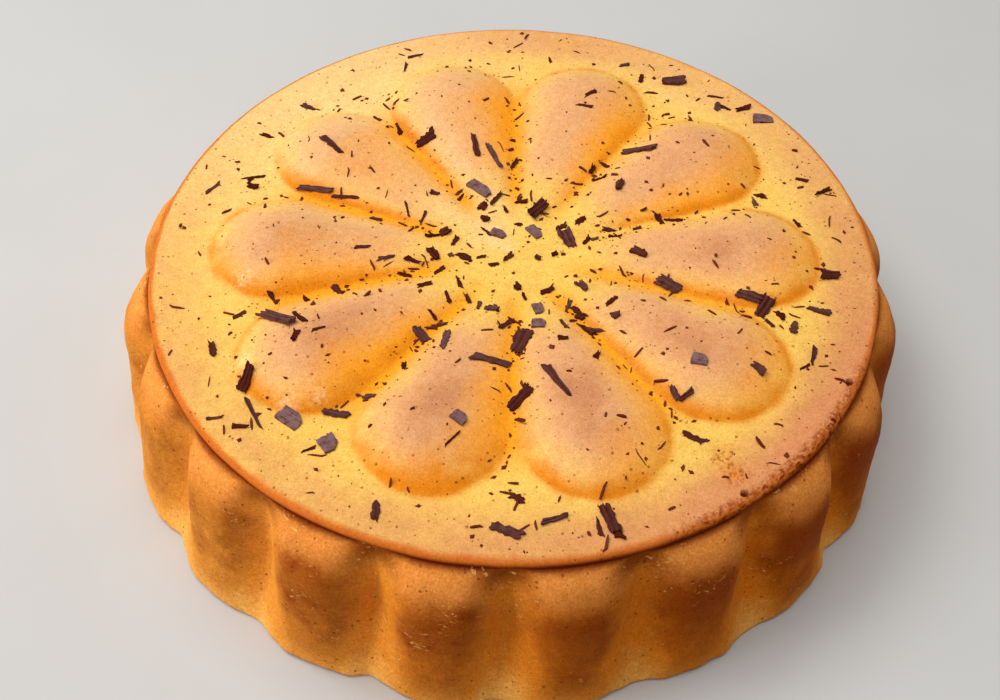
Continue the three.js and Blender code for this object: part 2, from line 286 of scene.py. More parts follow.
SLIVERS = [
    (1, 12, -12, 3.3, 2), (14, 11, 28, 4.7, 2.3), (-6, -5, 22, 4.6, 2.4),
    (-10, -2, 15, 4.1, 1.6), (-18, 4, 71, 6, 2.3), (-30, -5, -18, 6.2, 2.4),
    (-19, -2, 29, 2.6, 2.2), (-32, -10, -12, 6.6, 2), (-16, -13, -71, 6.2, 1.9),
    (-19, -19, -64, 5.7, 2.4), (-10, -22, 78, 4.5, 1.7), (-5, -23, -67, 3.8, 1.2),
    (3, -18, -70, 4, 1.4), (28, -20, 50, 7.2, 2.1), (14, -29, -60, 5.8, 1.6),
    (14, -35, 8, 4.5, 2.6), (23, -41, 69, 4.2, 2.6), (30, 7, -1, 5.9, 1.5),
    (37, 11, 28, 3.8, 1.8), (24, 6, 22, 3.1, 1.8), (26, 32, 13, 6.7, 1.4),
    (-25, 23, -5, 3.4, 2.2), (-21, -29, 15, 7.4, 1.4), (-23, -26, -51, 5.3, 1.3),
    (-33, 16, -76, 7.8, 1), (-28, 13, 73, 7.3, 1.4), (-3, 18, -67, 4.8, 1.5),
    (-38, -5, 18, 7.5, 1.8), (-45, -2, 13, 7, 1.5), (-22, -8, 50, 6, 2.2),
    (-26, -15, 25, 6.5, 2.2), (-17, 23, 65, 6.5, 2.2), (-38, 54, -70, 6, 2.6),
    (-52, 21, -5, 13, 1.6), (-82, 30, 10, 10, 1.4), (-94, 24, 55, 9, 1.4),
    (-35, 92, 28, 8, 1.8), (-38, 86, 85, 6.5, 1.5), (-2, -2, 50, 5, 3), (28, 39, -30, 6, 2.6),
    (24, 68, 40, 7, 2.4), (22, 62, -12, 7.5, 1.2), (42, 83, 80, 6.5, 2.6),
    (66, 73, -12, 7.5, 1.6), (90, 34, -15, 6, 2.2), (86, 15, -65, 5.5, 2), (-60, -39, 80, 6, 3),
    (-60, -31, -50, 9, 2), (-54, -36, 30, 6, 1.6), (-72, -67, 2, 6.5, 2.2),
    (-53, -73, 28, 5.5, 1.2), (-15.5, -71.5, 52, 8.5, 1), (73, -26, -50, 5, 1.5),
    (81, -42, 33, 5, 1.2), (-78, -27, 40, 6, 1.6), (-79, -65, 14, 6, 1.2),
]

# Round spots of the top: x, y and radius, in millimetres

PITS = [(60, -85.6, 1.3), (92.8, -48.2, 1.3), (86.5, -62, 0.8)]
TORN = [(55.5, -73, 3.6), (58, -78.5, 3.2)]
FLAKED = [(-78.3, -14.1, 2.6), (-73.6, -45.3, 2.4), (-60.2, -58.9, 2.4), (-52.6, -57, 1.8)]


def smooth_step(low, high, value):
    share = np.clip((value - low) / (high - low), 0, 1)
    return share * share * (3 - 2 * share)


def rising(low, high, value):
    """0 up to low and 1 from high on, both in millimetres, and smooth between."""
    return smooth_step(low * MM, high * MM, value)


def falling(low, high, value):
    """1 up to low and 0 from high on, both in millimetres, and smooth between."""
    return 1 - rising(low, high, value)


def bell(value, width):
    """1 where a value is 0, fading out to both sides over about twice a width."""
    return np.exp(-((value / width) ** 2))


def ripple(points, size, seed):
    """Unevenness between about -1 and 1, with bumps about as wide as size."""
    shift = Vector((seed, 2 * seed, 3 * seed))
    return np.array([noise.noise(Vector(point) / size + shift) for point in points])


# The cake's form


def flare(form, height):
    """How far the wall has flared out at a height: 0 above the flare, 1 at the base."""
    depth = 1 - height / form.neck_height
    return np.maximum(0, (depth - form.flare_start) / (1 - form.flare_start)) ** form.flare_power


def groove_radius(form, height):
    """Radius at the bottom of a groove."""
    depth = 1 - height / form.neck_height
    return form.neck_radius + form.groove_spread * depth + form.groove_flare * flare(form, height)


def crest_radius(form, height):
    """Radius along the crest of a flute: a flaring line up to a round shoulder."""
    depth = 1 - height / form.shoulder_height
    line = form.shoulder_radius + form.crest_spread * depth + form.crest_flare * flare(form, height)
    climb = (height - form.shoulder_height) / (form.neck_height - form.shoulder_height)
    swell = (1 - np.clip(climb, 0, 1) ** form.shoulder_slope) ** form.shoulder_swell
    shoulder = form.neck_radius + (form.shoulder_radius - form.neck_radius) * swell
    return np.where(climb < 0, line, shoulder)


def flute_wave(form, angle):
    """How much of a flute's swell is reached: 0 in a groove, 1 over its broad crest."""
    phase = form.flutes * (angle - form.flute_turn)
    number = np.round(phase / TAU)
    aside = (1 - np.cos(phase)) / 2
    wave = (1 - aside**form.flute_breadth) ** form.flute_fill
    return wave * (1 + form.flute_uneven * np.sin(form.flute_beat * number))


def off_crest(form, angle):
    """How far an angle is past the middle of its flute, as a length along the wall."""
    turns = form.flutes * (angle - form.flute_turn) / TAU
    return (turns - np.round(turns)) * TAU / form.flutes * form.shoulder_radius


def wall_radius(form, height, angle):
    groove = groove_radius(form, height)
    swollen = groove + (crest_radius(form, height) - groove) * flute_wave(form, angle)
    below = np.clip(1 - height / form.foot_round, 0, 1)
    return swollen - form.foot_inset * (1 - np.sqrt(1 - below**2))


def nearest_petal(form, angle):
    """Number of the petal nearest to an angle, and how far the angle is from its middle line."""
    phase = angle * form.petals / TAU
    nearest = np.round(phase)
    return nearest % form.petals, (phase - nearest) * TAU / form.petals


def petal_reach(form, angle):
    """Distance from the axis to the outer end of the petals, down to the notches between them."""
    away = nearest_petal(form, angle)[1]
    end_radius = (form.petal_centre - form.petal_tip) * math.sin(form.petal_half_angle)
    aside = np.minimum(form.petal_centre * np.abs(np.sin(away)), end_radius)
    return np.sqrt(form.petal_centre**2 - aside**2) + np.sqrt(end_radius**2 - aside**2)


class PetalPlace:
    """Where points of the top lie on their nearest petal."""

    def __init__(self, form, x, y):
        self.number, away = nearest_petal(form, np.arctan2(y, x))
        radius = np.hypot(x, y)
        along = radius * np.cos(away)
        aside = np.abs(radius * np.sin(away))
        half = form.petal_half_angle
        from_end = along - form.petal_centre
        on_end = np.arctan2(aside, from_end) < math.pi / 2 + half
        self.foot = np.where(on_end, form.petal_centre, along + aside * math.tan(half))
        self.half_width = np.maximum((self.foot - form.petal_tip) * math.sin(half), TINY)
        end_inward = self.half_width - np.hypot(from_end, aside)
        side_inward = (along - form.petal_tip) * math.sin(half) - aside * math.cos(half)
        self.inward = np.where(on_end, end_inward, side_inward)
        self.to_valley = radius * np.sin(math.pi / form.petals - np.abs(away))

    def rise(self, form):
        """Height above the ring, with a soft crease along the outline."""
        soft = (self.inward + np.sqrt(self.inward**2 + form.petal_crease**2)) / 2
        share = np.clip(soft / self.half_width, 0, 1)
        climb = (self.foot - form.ridge_start) / (form.petal_centre - form.ridge_start)
        ridge = np.maximum(climb, 0) ** form.ridge_power
        uneven = 1 + form.petal_uneven * np.sin(form.petal_beat * self.number)
        return form.petal_rise * ridge * (1 - (1 - share) ** form.petal_dome) * uneven


def petal_rise(form, x, y):
    return PetalPlace(form, x, y).rise(form)


def crown_shift(form, x, y, z):
    """How far the crown stands behind the rim's middle, fading out towards the rim."""
    share = np.hypot(x, y) / (form.rim_radius - form.edge_round)
    return form.crown_shift * np.maximum(0, 1 - share**form.crown_hold) * (z > form.lip_bottom)


def in_place(form, x, y, z):
    """Points of the true round drum, moved to where the slightly oval, leaning cake has them."""
    stretch = 1 + form.out_of_round * np.cos(2 * (np.arctan2(y, x) - form.long_way))
    lean = form.lean * z / form.ring_height
    moved_x = x * stretch + lean * math.cos(form.lean_way)
    moved_y = y * stretch + lean * math.sin(form.lean_way) + crown_shift(form, x, y, z)
    return np.stack([moved_x, moved_y, z], axis=-1)


# The turned drum

BASE_RINGS = 5
FOOT_RINGS = 4
WALL_RINGS = 24
SHOULDER_RINGS = 12
LIP_RINGS = 5
EDGE_RINGS = 6
FLAT_RINGS = 30
CROWN_RINGS = 60
CROWN_CROWDING = 1.25
CRUMB_CUTS = 2
TORN_TURN = 0.06


def crown_edge(form):
    return float(petal_reach(form, np.zeros(1))[0])


def base_edge(form):
    return float(crest_radius(form, 0)) - form.foot_inset


def drum_profile(form):
    """Radius and height from the middle of the base, up the outside, to the middle of the top."""
    quarter = math.pi / 2
    base = [(radius, 0) for radius in np.linspace(0, base_edge(form), BASE_RINGS)]
    foot = np.linspace(0, form.foot_round, FOOT_RINGS + 1)[1:]
    wall = np.linspace(form.foot_round, form.shoulder_height, WALL_RINGS + 1)[1:]
    climb = np.sin(np.linspace(0, quarter, SHOULDER_RINGS + 1)[1:-1])
    shoulder = form.shoulder_height + (form.neck_height - form.shoulder_height) * climb
    side = [(crest_radius(form, height), height) for height in (*foot, *wall, *shoulder)]
    lip_top = form.ring_height - form.edge_round
    lip = np.linspace(form.lip_bottom, lip_top, LIP_RINGS)
    tapered = form.rim_radius - form.lip_taper * (lip_top - lip) / (lip_top - form.lip_bottom)
    arc = np.linspace(0, quarter, EDGE_RINGS + 1)[1:]
    edge = form.rim_radius - form.edge_round * (1 - np.cos(arc))
    edge_height = lip_top + form.edge_round * np.sin(arc)
    inner = crown_edge(form)
    flat = np.linspace(form.rim_radius - form.edge_round, inner, FLAT_RINGS + 1)[1:]
    crown = inner * (1 - np.linspace(0, 1, CROWN_RINGS + 1)[1:] ** CROWN_CROWDING)
    top = [(radius, form.ring_height) for radius in (*flat, *crown)]
    neck = [(form.neck_radius, form.neck_height)]
    return base + side + neck + [*zip(tapered, lip)] + [*zip(edge, edge_height)] + top


def turned_from(angle, degrees):
    """How far angles are turned from a direction."""
    return np.abs((angle - math.radians(degrees) + math.pi) % TAU - math.pi)


def crumbled_stretch(relief, angle):
    """1 along the crumbled stretch of the rim, fading towards its ends."""
    middle = math.degrees(relief.crumble_from + relief.crumble_to) / 2
    half = (relief.crumble_to - relief.crumble_from) / 2
    return 1 - smooth_step(half - relief.crumble_fade, half, turned_from(angle, middle))


def crumbled_edges(drum, form, relief):
    """Edges of the mesh along the crumbled stretch of the rim and across the torn patches."""
    inner = form.rim_radius - form.edge_round - relief.crumble_width
    patch_inner = crown_edge(form)
    ways = [math.degrees(math.atan2(y, x)) for x, y, radius in TORN]
    broken = set()
    for point in drum.verts:
        x, y, z = point.co
        radius = math.hypot(x, y)
        if z > form.lip_bottom and radius > patch_inner:
            angle = math.atan2(y, x)
            on_rim = radius > inner and crumbled_stretch(relief, angle) > 0
            if on_rim or min(turned_from(angle, way) for way in ways) < TORN_TURN:
                broken.add(point)
    return [edge for edge in drum.edges if broken.issuperset(edge.verts)]


def turned_drum(form, relief):
    """The profile turned once about the axis, closed at both poles, finer where it is crumbled."""
    drum = bmesh.new()
    points = [drum.verts.new((radius, 0, height)) for radius, height in drum_profile(form)]
    lines = [drum.edges.new(pair) for pair in zip(points, points[1:])]
    bmesh.ops.spin(
        drum,
        geom=points + lines,
        cent=(0, 0, 0),
        axis=(0, 0, 1),
        angle=TAU,
        steps=form.turn_steps,
        use_merge=True,
    )
    bmesh.ops.remove_doubles(drum, verts=drum.verts, dist=TINY)
    rough = crumbled_edges(drum, form, relief)
    bmesh.ops.subdivide_edges(drum, edges=rough, cuts=CRUMB_CUTS, use_grid_fill=True)
    bmesh.ops.recalc_face_normals(drum, faces=drum.faces)
    return drum


# Seeds of the cake's unevenness

WAVE_SEED = 3
DIMPLE_SEED = 11
LUMP_SEED = 23
CRUMB_SEED = 31
FINE_CRUMB_SEED = 37

# The finer of two sizes of crumb, where holes start and are full, and the inner part of a pit

FINE_CRUMB = 0.45
FINE_CRUMB_SHARE = 0.7
HOLE_START = 0.01
FULL_HOLE = 0.7
PIT_FLOOR = 0.7

# How much of the unevenness the rim has

RIM_SHARE = 0.5

# Sides of the cake that differ in colour, from baking and from painted light and shade: directions
# in degrees, some with a spread in radians

BROWNER_SHADED_SIDE = -40
DARKER_SCORCH_SIDE = -95
SHADED_SLOPES = -30
FRONT_SHADED_SLOPES = -96
LIT_PALE_SIDE = (132, 0.7)
CREAMY_SIDE = (52, 0.6)
TANNED_BACK = (88, 0.5)
FAINT_VALLEYS = (27, 0.6)
OUTLINED_PETAL = (180, 0.3)
LEFT_PETAL = (185, 0.5)
FRONT_LEFT_PETAL = (252, 0.3)
BANDED_FLUTE = (243, 0.16)


class CakeSurface:
    """Every point of the turned drum: the part of the cake it lies on, its place and its baking."""

    def __init__(self, form, relief, points):
        self.form = form
        self.relief = relief
        x, y, self.height = points.T
        self.angle = np.arctan2(y, x)
        plain = np.hypot(x, y)
        self.on_base = self.height < TINY
        self.on_top = self.height > form.ring_height - TINY
        self.on_wall = ~self.on_base & (self.height < form.neck_height - TINY)
        self.radius = plain.copy()
        self.radius[self.on_base] = self.base_radius(plain)[self.on_base]
        self.radius[self.on_wall] = wall_radius(form, self.height, self.angle)[self.on_wall]
        self.radius[self.on_top] = self.top_radius(plain)[self.on_top]
        self.x = self.radius * np.cos(self.angle)
        self.y = self.radius * np.sin(self.angle)
        self.petal = PetalPlace(form, self.x, self.y)
        self.rise = np.where(self.on_top, self.petal.rise(form), 0)
        # 1 towards the front right, which is more browned and also darker as painted shade, and 0
        # on the lit back left
        self.browner_and_shaded = self.turned_to(BROWNER_SHADED_SIDE)
        self.crumbled = self.crumbled_share()
        self.torn = self.spots(TORN)
        self.holes = self.crumb_holes()
        self.pitted = self.pitted_share()

    def base_radius(self, plain):
        form = self.form
        return plain * wall_radius(form, 0, self.angle) / base_edge(form)

    def top_radius(self, plain):
        """Rings of the crown follow the petals' outer ends, and flat ones fill up to the rim."""
        form = self.form
        inner = crown_edge(form)
        outer = form.rim_radius - form.edge_round
        reach = petal_reach(form, self.angle)
        flat = reach + (outer - reach) * (plain - inner) / (outer - inner)
        return np.where(plain < inner, plain * reach / inner, flat)

    def crumbled_share(self):
        """1 along the crumbled stretch of the rim, fading over the ring."""
        form = self.form
        inner = form.rim_radius - form.edge_round - self.relief.crumble_width
        band = smooth_step(inner, form.rim_radius - form.edge_round, self.radius)
        band *= smooth_step(form.lip_bottom, form.lip_bottom + form.edge_round / 2, self.height)
        return crumbled_stretch(self.relief, self.angle) * band

    def from_spots(self, rows):
        """How far every point is from the nearest of some round spots, as a share of its radius."""
        gaps = [np.hypot(self.x - x * MM, self.y - y * MM) / (size * MM) for x, y, size in rows]
        return np.minimum.reduce(gaps)

    def spots(self, rows):
        """1 in the middle of round spots of the top, fading outwards."""
        return bell(self.from_spots(rows), 1) * self.on_top

    def crumb_holes(self):
        """1 deep in the holes that crumbs left in the crumbled stretch and the torn patches."""
        depth = np.zeros_like(self.x)
        rough = np.maximum(self.crumbled, self.torn)
        broken = np.flatnonzero(rough > HOLE_START)
        places = np.stack([self.x, self.y, self.height], axis=-1)[broken]
        size = self.relief.crumble_size
        fine = ripple(places, FINE_CRUMB * size, FINE_CRUMB_SEED)
        depth[broken] = ripple(places, size, CRUMB_SEED) + FINE_CRUMB_SHARE * fine
        return rough * smooth_step(0, FULL_HOLE, depth)

    def pitted_share(self):
        """1 in the large pits of the ring, fading at their edges."""
        share = 1 - smooth_step(PIT_FLOOR, 1, self.from_spots(PITS))
        return share * (self.height > self.form.lip_bottom)

    def points(self):
        """Places of all points, uneven as a baked sponge is."""
        form = self.form
        relief = self.relief
        round_points = np.stack([self.x, self.y, self.height], axis=-1)
        waves = relief.wave_depth * ripple(round_points, relief.wave_size, WAVE_SEED)
        dimples = relief.dimple_depth * ripple(round_points, relief.dimple_size, DIMPLE_SEED)
        uneven = waves + dimples
        low = 1 - smooth_step(0, relief.foot_lump_height, self.height)
        lumpy = ripple(round_points, relief.foot_lump_size, LUMP_SEED)
        lumps = relief.foot_lump_depth * low * lumpy
        broken = relief.crumble_depth * self.holes
        sunk = relief.pit_depth * self.pitted
        on_rim = RIM_SHARE * uneven - broken
        outward = np.where(self.on_wall, relief.wall_share * uneven + lumps, on_rim)
        outward = np.where(self.on_base, lumps * self.radius / base_edge(form), outward)
        outward = np.where(self.on_top, 0, outward)
        upward = np.where(self.on_top, uneven - broken - sunk, 0)
        grown = 1 + outward / np.maximum(self.radius, TINY)
        return in_place(form, self.x * grown, self.y * grown, self.height + self.rise + upward)

    def facing(self, direction, spread):
        """1 in a direction, fading out to both sides of it."""
        return bell(turned_from(self.angle, direction), spread)

    def turned_to(self, direction):
        """1 in a direction and 0 in the opposite one."""
        return 0.5 + 0.5 * np.cos(self.angle - math.radians(direction))

    def falls_towards(self, direction, steepest):
        """0 where the top doesn't fall towards a direction, up to 1 from the steepest slope on."""
        step = 0.5 * MM
        ahead_x = step * math.cos(math.radians(direction))
        ahead_y = step * math.sin(math.radians(direction))
        ahead = petal_rise(self.form, self.x + ahead_x, self.y + ahead_y)
        behind = petal_rise(self.form, self.x - ahead_x, self.y - ahead_y)
        return np.clip((behind - ahead) / (2 * step * steepest), 0, 1)

    def baking(self):
        """Masks between 0 and 1 for the parts that baked to another colour, and for painted light
        and shade.
        """
        return {**self.top_baking(), **self.rim_baking(), **self.wall_baking()}

    def top_baking(self):
        """Masks of the petals and of the valleys between them."""
        petal = self.petal
        share = np.clip(petal.inward / petal.half_width, 0, 1)
        far_out = rising(20, 44, petal.foot)
        on_petal = far_out * rising(-1.5, 1.2, petal.inward)

        valley = bell(petal.to_valley, 3.9 * MM)
        valley *= rising(12, 28, self.radius) * falling(66, 84, self.radius)
        valley *= 1 - 0.85 * self.facing(*FAINT_VALLEYS)

        scorch = bell(petal.foot - 62 * MM, 12 * MM) * smooth_step(0.3, 0.95, share)
        # The scorch is darker towards the front
        scorch *= 0.2 + 0.8 * self.turned_to(DARKER_SCORCH_SIDE)

        # Painted shade: gold on the flanks that fall away from the light
        flank = far_out * self.falls_towards(SHADED_SLOPES, 0.4)
        flank *= 1 - 0.4 * rising(62, 80, self.radius)

        # Painted shade on the petal ends that fall towards the front, with a weaker orange all
        # round the outline and on the torn patches
        fringe_width = 0.28 + 0.45 * self.facing(*FRONT_LEFT_PETAL) + 0.2 * self.facing(*LEFT_PETAL)
        fringe = on_petal * (1 - smooth_step(0.1, 1, share / fringe_width))
        fringe *= 0.05 + 0.95 * self.falls_towards(FRONT_SHADED_SLOPES, 0.38)

        # Painted highlight on the lit back left; a paler cream on the back right of the ring
        pale = self.facing(*LIT_PALE_SIDE)
        creamy = 0.35 * self.facing(*CREAMY_SIDE) * rising(80, 90, self.radius)

        outline = far_out * bell(petal.inward - 0.8 * MM, 1.4 * MM) * rising(62, 78, self.radius)
        outline *= (1 - pale) * (0.5 + 0.4 * self.facing(*OUTLINED_PETAL))

        masks = {
            "valley": valley,
            "crown": on_petal * smooth_step(-0.2, 0.65, share),
            "scorch": scorch,
            "pale": np.maximum(pale, creamy) * (1 - valley) * (1 - 0.45 * on_petal),
            "flank": flank,
            "fringe": np.maximum.reduce([fringe, outline, 0.45 * self.torn]),
            "flake": 0.6 * self.spots(FLAKED),
        }
        return {name: np.where(self.on_top, mask, 0) for name, mask in masks.items()}

    def rim_baking(self):
        """Masks of the ring towards the rim, of the rim and of what crumbled there."""
        above_lip = self.height > self.form.lip_bottom - TINY
        # The ring's tan is deeper on the front right, partly as painted shade
        tan = 0.36 + 0.24 * self.browner_and_shaded + 0.4 * self.browner_and_shaded**4
        tan += 0.4 * self.facing(*TANNED_BACK) * rising(88, 98, self.radius)
        # The rim's brown band is wider on the front right, partly as painted shade
        rim_start = (104.8 + 1.1 * (1 - self.browner_and_shaded)) * MM
        rim_end = (106.7 + 1.1 * self.browner_and_shaded) * MM
        return {
            "ring": above_lip * rising(84, 102, self.radius) * tan,
            "rim": above_lip * smooth_step(rim_start, rim_end, self.radius),
            # The crumbled stretch is a darker crumb; its holes are darker still as painted shade,
            # and the pits are painted shade
            "crumble": np.maximum(0.55 * self.crumbled, 0.9 * self.holes),
            "pit": np.maximum(self.pitted, 0.5 * self.holes),
        }

    def wall_baking(self):
        """Masks of the flutes, of the grooves between them and of the dark line under the rim, with
        painted shade in the pads and under the rim and painted light on the domes and the lit side.
        """
        height = self.height
        past_crest = off_crest(self.form, self.angle)
        aside = np.abs(past_crest)

        # The brown pad below each shoulder is partly browning and partly painted shade: its middle
        # shifts sideways round the cake and its top arches like a shading edge
        off_pad = np.abs(past_crest + 4 * MM * np.cos(self.angle))
        pad_half = (3 + 4 * rising(8, 28, height)) * MM
        arch = height - 3 * MM * (aside / (14 * MM)) ** 2
        pad = falling(0, 9.5, off_pad - pad_half) * (0.7 + 0.3 * rising(10, 34, height))
        pad *= rising(0, 9, height) * falling(37, 48, arch)

        band = bell(height - 43 * MM, 5 * MM) * falling(6, 14, aside) * self.facing(*BANDED_FLUTE)
        # Painted highlight on the shoulders' domes under the rim
        lit_dome = rising(36, 45, height) * falling(8, 17, aside)
        # The foot is paler on the lit left, partly as painted light
        pale_foot = np.maximum(rising(7, 16, aside), 0.15 + 0.5 * (1 - self.browner_and_shaded))

        # Painted shade in the grooves under the rim, starting sooner on one side of each flute
        lee = aside + 1.5 * MM * np.sign(past_crest)
        shade = 0.8 * rising(7, 16, lee) * rising(42, 50, height)
        # Painted shade: the dark line under the rim, taller on the front right
        lip_shadow_top = (52.2 + 1.1 * self.browner_and_shaded**2) * MM
        line = rising(49.4, 51.2, height)
        line *= 1 - smooth_step(lip_shadow_top - 0.9 * MM, lip_shadow_top + 0.3 * MM, height)

        masks = {
            "shoulder": lit_dome,
            # Painted light: paler gold on the lit left of the wall, less on the domes
            "gilt": smooth_step(0, 0.6, 1 - self.browner_and_shaded) * (1 - 0.8 * lit_dome),
            "face": pad * (0.2 + 0.8 * self.browner_and_shaded) + 0.35 * band,
            "foot": falling(1, 14, height) * pale_foot,
        }
        masks = {name: np.where(self.on_wall, mask, 0) for name, mask in masks.items()}
        masks["groove"] = np.where(self.on_wall | self.on_base, 1, 0)
        masks["under_lip"] = np.maximum(line, np.where(self.on_wall, shade, 0))
        return masks


# Shader nodes

SPECKLE_ROUGHNESS = 0.6
SPECKLE_MIDDLE = (0.35, 0.65)
EDGE_WANDER = 8.0
COARSE_GRAIN_SCALE = 0.3
COARSE_GRAIN_SHARE = 0.35
PORE_SIZE = 0.3
PORE_RARITY = 4.0
PORE_EDGE = (-0.02, 0.05)
PORE_DEPTH = 1.2


def add(tree, kind, inputs=None, **settings):
    """A new node with its settings made and its inputs set, or joined to other nodes' outputs."""
    node = tree.nodes.new(kind)
    for name, value in settings.items():
        setattr(node, name, value)
    for socket, value in (inputs or {}).items():
        if isinstance(value, bpy.types.NodeSocket):
            tree.links.new(value, node.inputs[socket])
        else:
            node.inputs[socket].default_value = value
    return node


def worked_out(tree, operation, *values):
    return add(tree, "ShaderNodeMath", dict(enumerate(values)), operation=operation).outputs[0]


def stepped(tree, value, low, high):
    """0 below low, 1 above high and smooth between."""
    inputs = {"Value": value, "From Min": low, "From Max": high}
    return add(tree, "ShaderNodeMapRange", inputs, interpolation_type="SMOOTHSTEP").outputs[0]


def ranged(tree, value, low, high):
    """The middle of a speckle's range spread from low to high."""
    start, end = SPECKLE_MIDDLE
    inputs = {"Value": value, "From Min": start, "From Max": end, "To Min": low, "To Max": high}
    return add(tree, "ShaderNodeMapRange", inputs).outputs[0]


def laid_over(tree, factor, under, over, blend="MIX"):
    """One colour laid over another by a factor."""
    inputs = {0: factor, 6: under, 7: over}
    return add(tree, "ShaderNodeMix", inputs, data_type="RGBA", blend_type=blend).outputs[2]


def speckle(tree, place, scale, detail=2.0, curl=0.0):
    inputs = {
        "Vector": place,
        "Scale": scale,
        "Detail": detail,
        "Roughness": SPECKLE_ROUGHNESS,
        "Distortion": curl,
    }
    return add(tree, "ShaderNodeTexNoise", inputs).outputs["Fac"]


def bumped(tree, height, strength, depth):
    inputs = {"Height": height, "Strength": strength, "Distance": depth}
    return add(tree, "ShaderNodeBump", inputs).outputs["Normal"]


def mask_of(tree, name):
    return add(tree, "ShaderNodeAttribute", attribute_name=name).outputs["Fac"]


def paint(value):
    return (*value, 1)


def new_material(name, specular):
    material = bpy.data.materials.new(name)
    material.use_nodes = True
    tree = material.node_tree
    tree.nodes.clear()
    surface = add(tree, "ShaderNodeBsdfPrincipled", {"Specular IOR Level": specular})
    add(tree, "ShaderNodeOutputMaterial", {"Surface": surface.outputs["BSDF"]})
    return material, tree, surface.inputs


def finish_surface(tree, surface, **sources):
    for socket, source in sources.items():
        tree.links.new(source, surface[socket.replace("_", " ")])


def shader_group(name, inputs, outputs):
    """A node group with its sockets: the group, what it is given and what it puts out."""
    group = bpy.data.node_groups.new(name, "ShaderNodeTree")
    for socket in inputs:
        kind = "NodeSocketVector" if socket == "Vector" else "NodeSocketFloat"
        group.interface.new_socket(socket, in_out="INPUT", socket_type=kind)
    for socket in outputs:
        group.interface.new_socket(socket, in_out="OUTPUT", socket_type="NodeSocketFloat")
    given = group.nodes.new("NodeGroupInput").outputs
    result = group.nodes.new("NodeGroupOutput").inputs
    return group, given, result


def patchy_edge_group():
    """A mask whose edge wanders, while full and empty parts stay as they are."""
    group, given, result = shader_group("Patchy edge", ["Mask", "Patches", "Breakup"], ["Mask"])
    bare = worked_out(group, "SUBTRACT", 1.0, given["Mask"])
    edge = worked_out(group, "MULTIPLY", given["Mask"], bare)
    patches = worked_out(group, "SUBTRACT", given["Patches"], 0.5)
    wander = worked_out(group, "MULTIPLY", patches, given["Breakup"])
    wander = worked_out(group, "MULTIPLY", wander, EDGE_WANDER)
    moved = worked_out(group, "MULTIPLY_ADD", edge, wander, given["Mask"])
    capped = worked_out(group, "MAXIMUM", worked_out(group, "MINIMUM", moved, 1.0), 0.0)
    group.links.new(capped, result["Mask"])
    return group


def crumb_grain_group():
    """Fine grain of a baked skin, with pores here and there."""
    inputs = ["Vector", "Grain Scale", "Pore Scale", "Pore Size"]
    group, given, result = shader_group("Crumb grain", inputs, ["Grain", "Pores", "Height"])
    place = given["Vector"]
    fine = speckle(group, place, given["Grain Scale"])
    coarse_scale = worked_out(group, "MULTIPLY", given["Grain Scale"], COARSE_GRAIN_SCALE)
    coarse = speckle(group, place, coarse_scale, detail=3.0)
    grain = add(group, "ShaderNodeMix", {0: COARSE_GRAIN_SHARE, 2: fine, 3: coarse}).outputs[0]
    cell_inputs = {"Vector": place, "Scale": given["Pore Scale"]}
    cells = add(group, "ShaderNodeTexVoronoi", cell_inputs).outputs
    chance = add(group, "ShaderNodeSeparateColor", {"Color": cells["Color"]}).outputs[0]
    rare = worked_out(group, "POWER", chance, PORE_RARITY)
    radius = worked_out(group, "MULTIPLY", rare, given["Pore Size"])
    inside = worked_out(group, "SUBTRACT", radius, cells["Distance"])
    pores = stepped(group, inside, *PORE_EDGE)
    height = worked_out(group, "MULTIPLY_ADD", pores, -PORE_DEPTH, grain)
    for name, source in {"Grain": grain, "Pores": pores, "Height": height}.items():
        group.links.new(source, result[name])
    return group


# Colours laid over the pale sponge in order: mask and colour, how strongly, how patchy the edge is,
# and how much of that is as fine as crumbs

CRUST_LAYERS = [
    ("valley", 0.95, 0.5, 0),
    ("ring", 1.0, 0.5, 0),
    ("crown", 0.95, 0.7, 0),
    # Painted highlight on the lit back left
    ("pale", 0.7, 0.5, 0),
    ("scorch", 0.5, 0.9, 0),
    ("flank", 0.95, 0.5, 0),
    ("fringe", 0.97, 0.9, 0),
    ("groove", 1.0, 0.0, 0),
    # Shoulders: tan with a painted highlight on the domes
    ("shoulder", 0.9, 0.4, 0),
    ("gilt", 0.72, 0.6, 0),
    # Faces: browning with painted shade
    ("face", 0.95, 0.8, 0),
    ("foot", 0.85, 0.7, 0),
    ("rim", 0.95, 0.6, 0),
    ("under_lip", 1.0, 0.4, 0.3),
    ("flake", 0.65, 1.6, 1),
    ("crumble", 0.85, 1.6, 1),
]
PATCH_SIZE = 11 * MM
CRUMB_SIZE = 1.3 * MM
SPOT_SIZE = 0.8 * MM
SPOT_TONES = (0.82, 1.18)
SPOT_STRENGTH = 0.6
GRAIN_HOLLOW = (0.86, 0.65, 0.51)
GRAIN_TOP = (1.1, 0.97, 0.98)
SCUFF_SCALE = (420, 420, 760)
SCUFF_EDGE = (0.6, 0.68)
SCUFFED_PATCHES = (0.52, 0.62)
SCUFF_STRENGTH = 0.65
PORE_STRENGTH = 0.55
BASE_PORE_STRENGTH = 0.75
BASE_PALENESS = 0.5
BASE_BREAKUP = 0.9


def grained(tree, place, relief, crumb_grain):
    """Grain, pores and height of a baked skin."""
    inputs = {
        "Vector": place,
        "Grain Scale": 1 / relief.grain_size,
        "Pore Scale": 1 / relief.pore_spacing,
        "Pore Size": PORE_SIZE,
    }
    return add(tree, "ShaderNodeGroup", inputs, node_tree=crumb_grain).outputs


def broken_up(tree, mask, patches, breakup, patchy_edge):
    """A mask with its edge broken up by patches."""
    inputs = {"Mask": mask, "Patches": patches, "Breakup": breakup}
    return add(tree, "ShaderNodeGroup", inputs, node_tree=patchy_edge).outputs["Mask"]


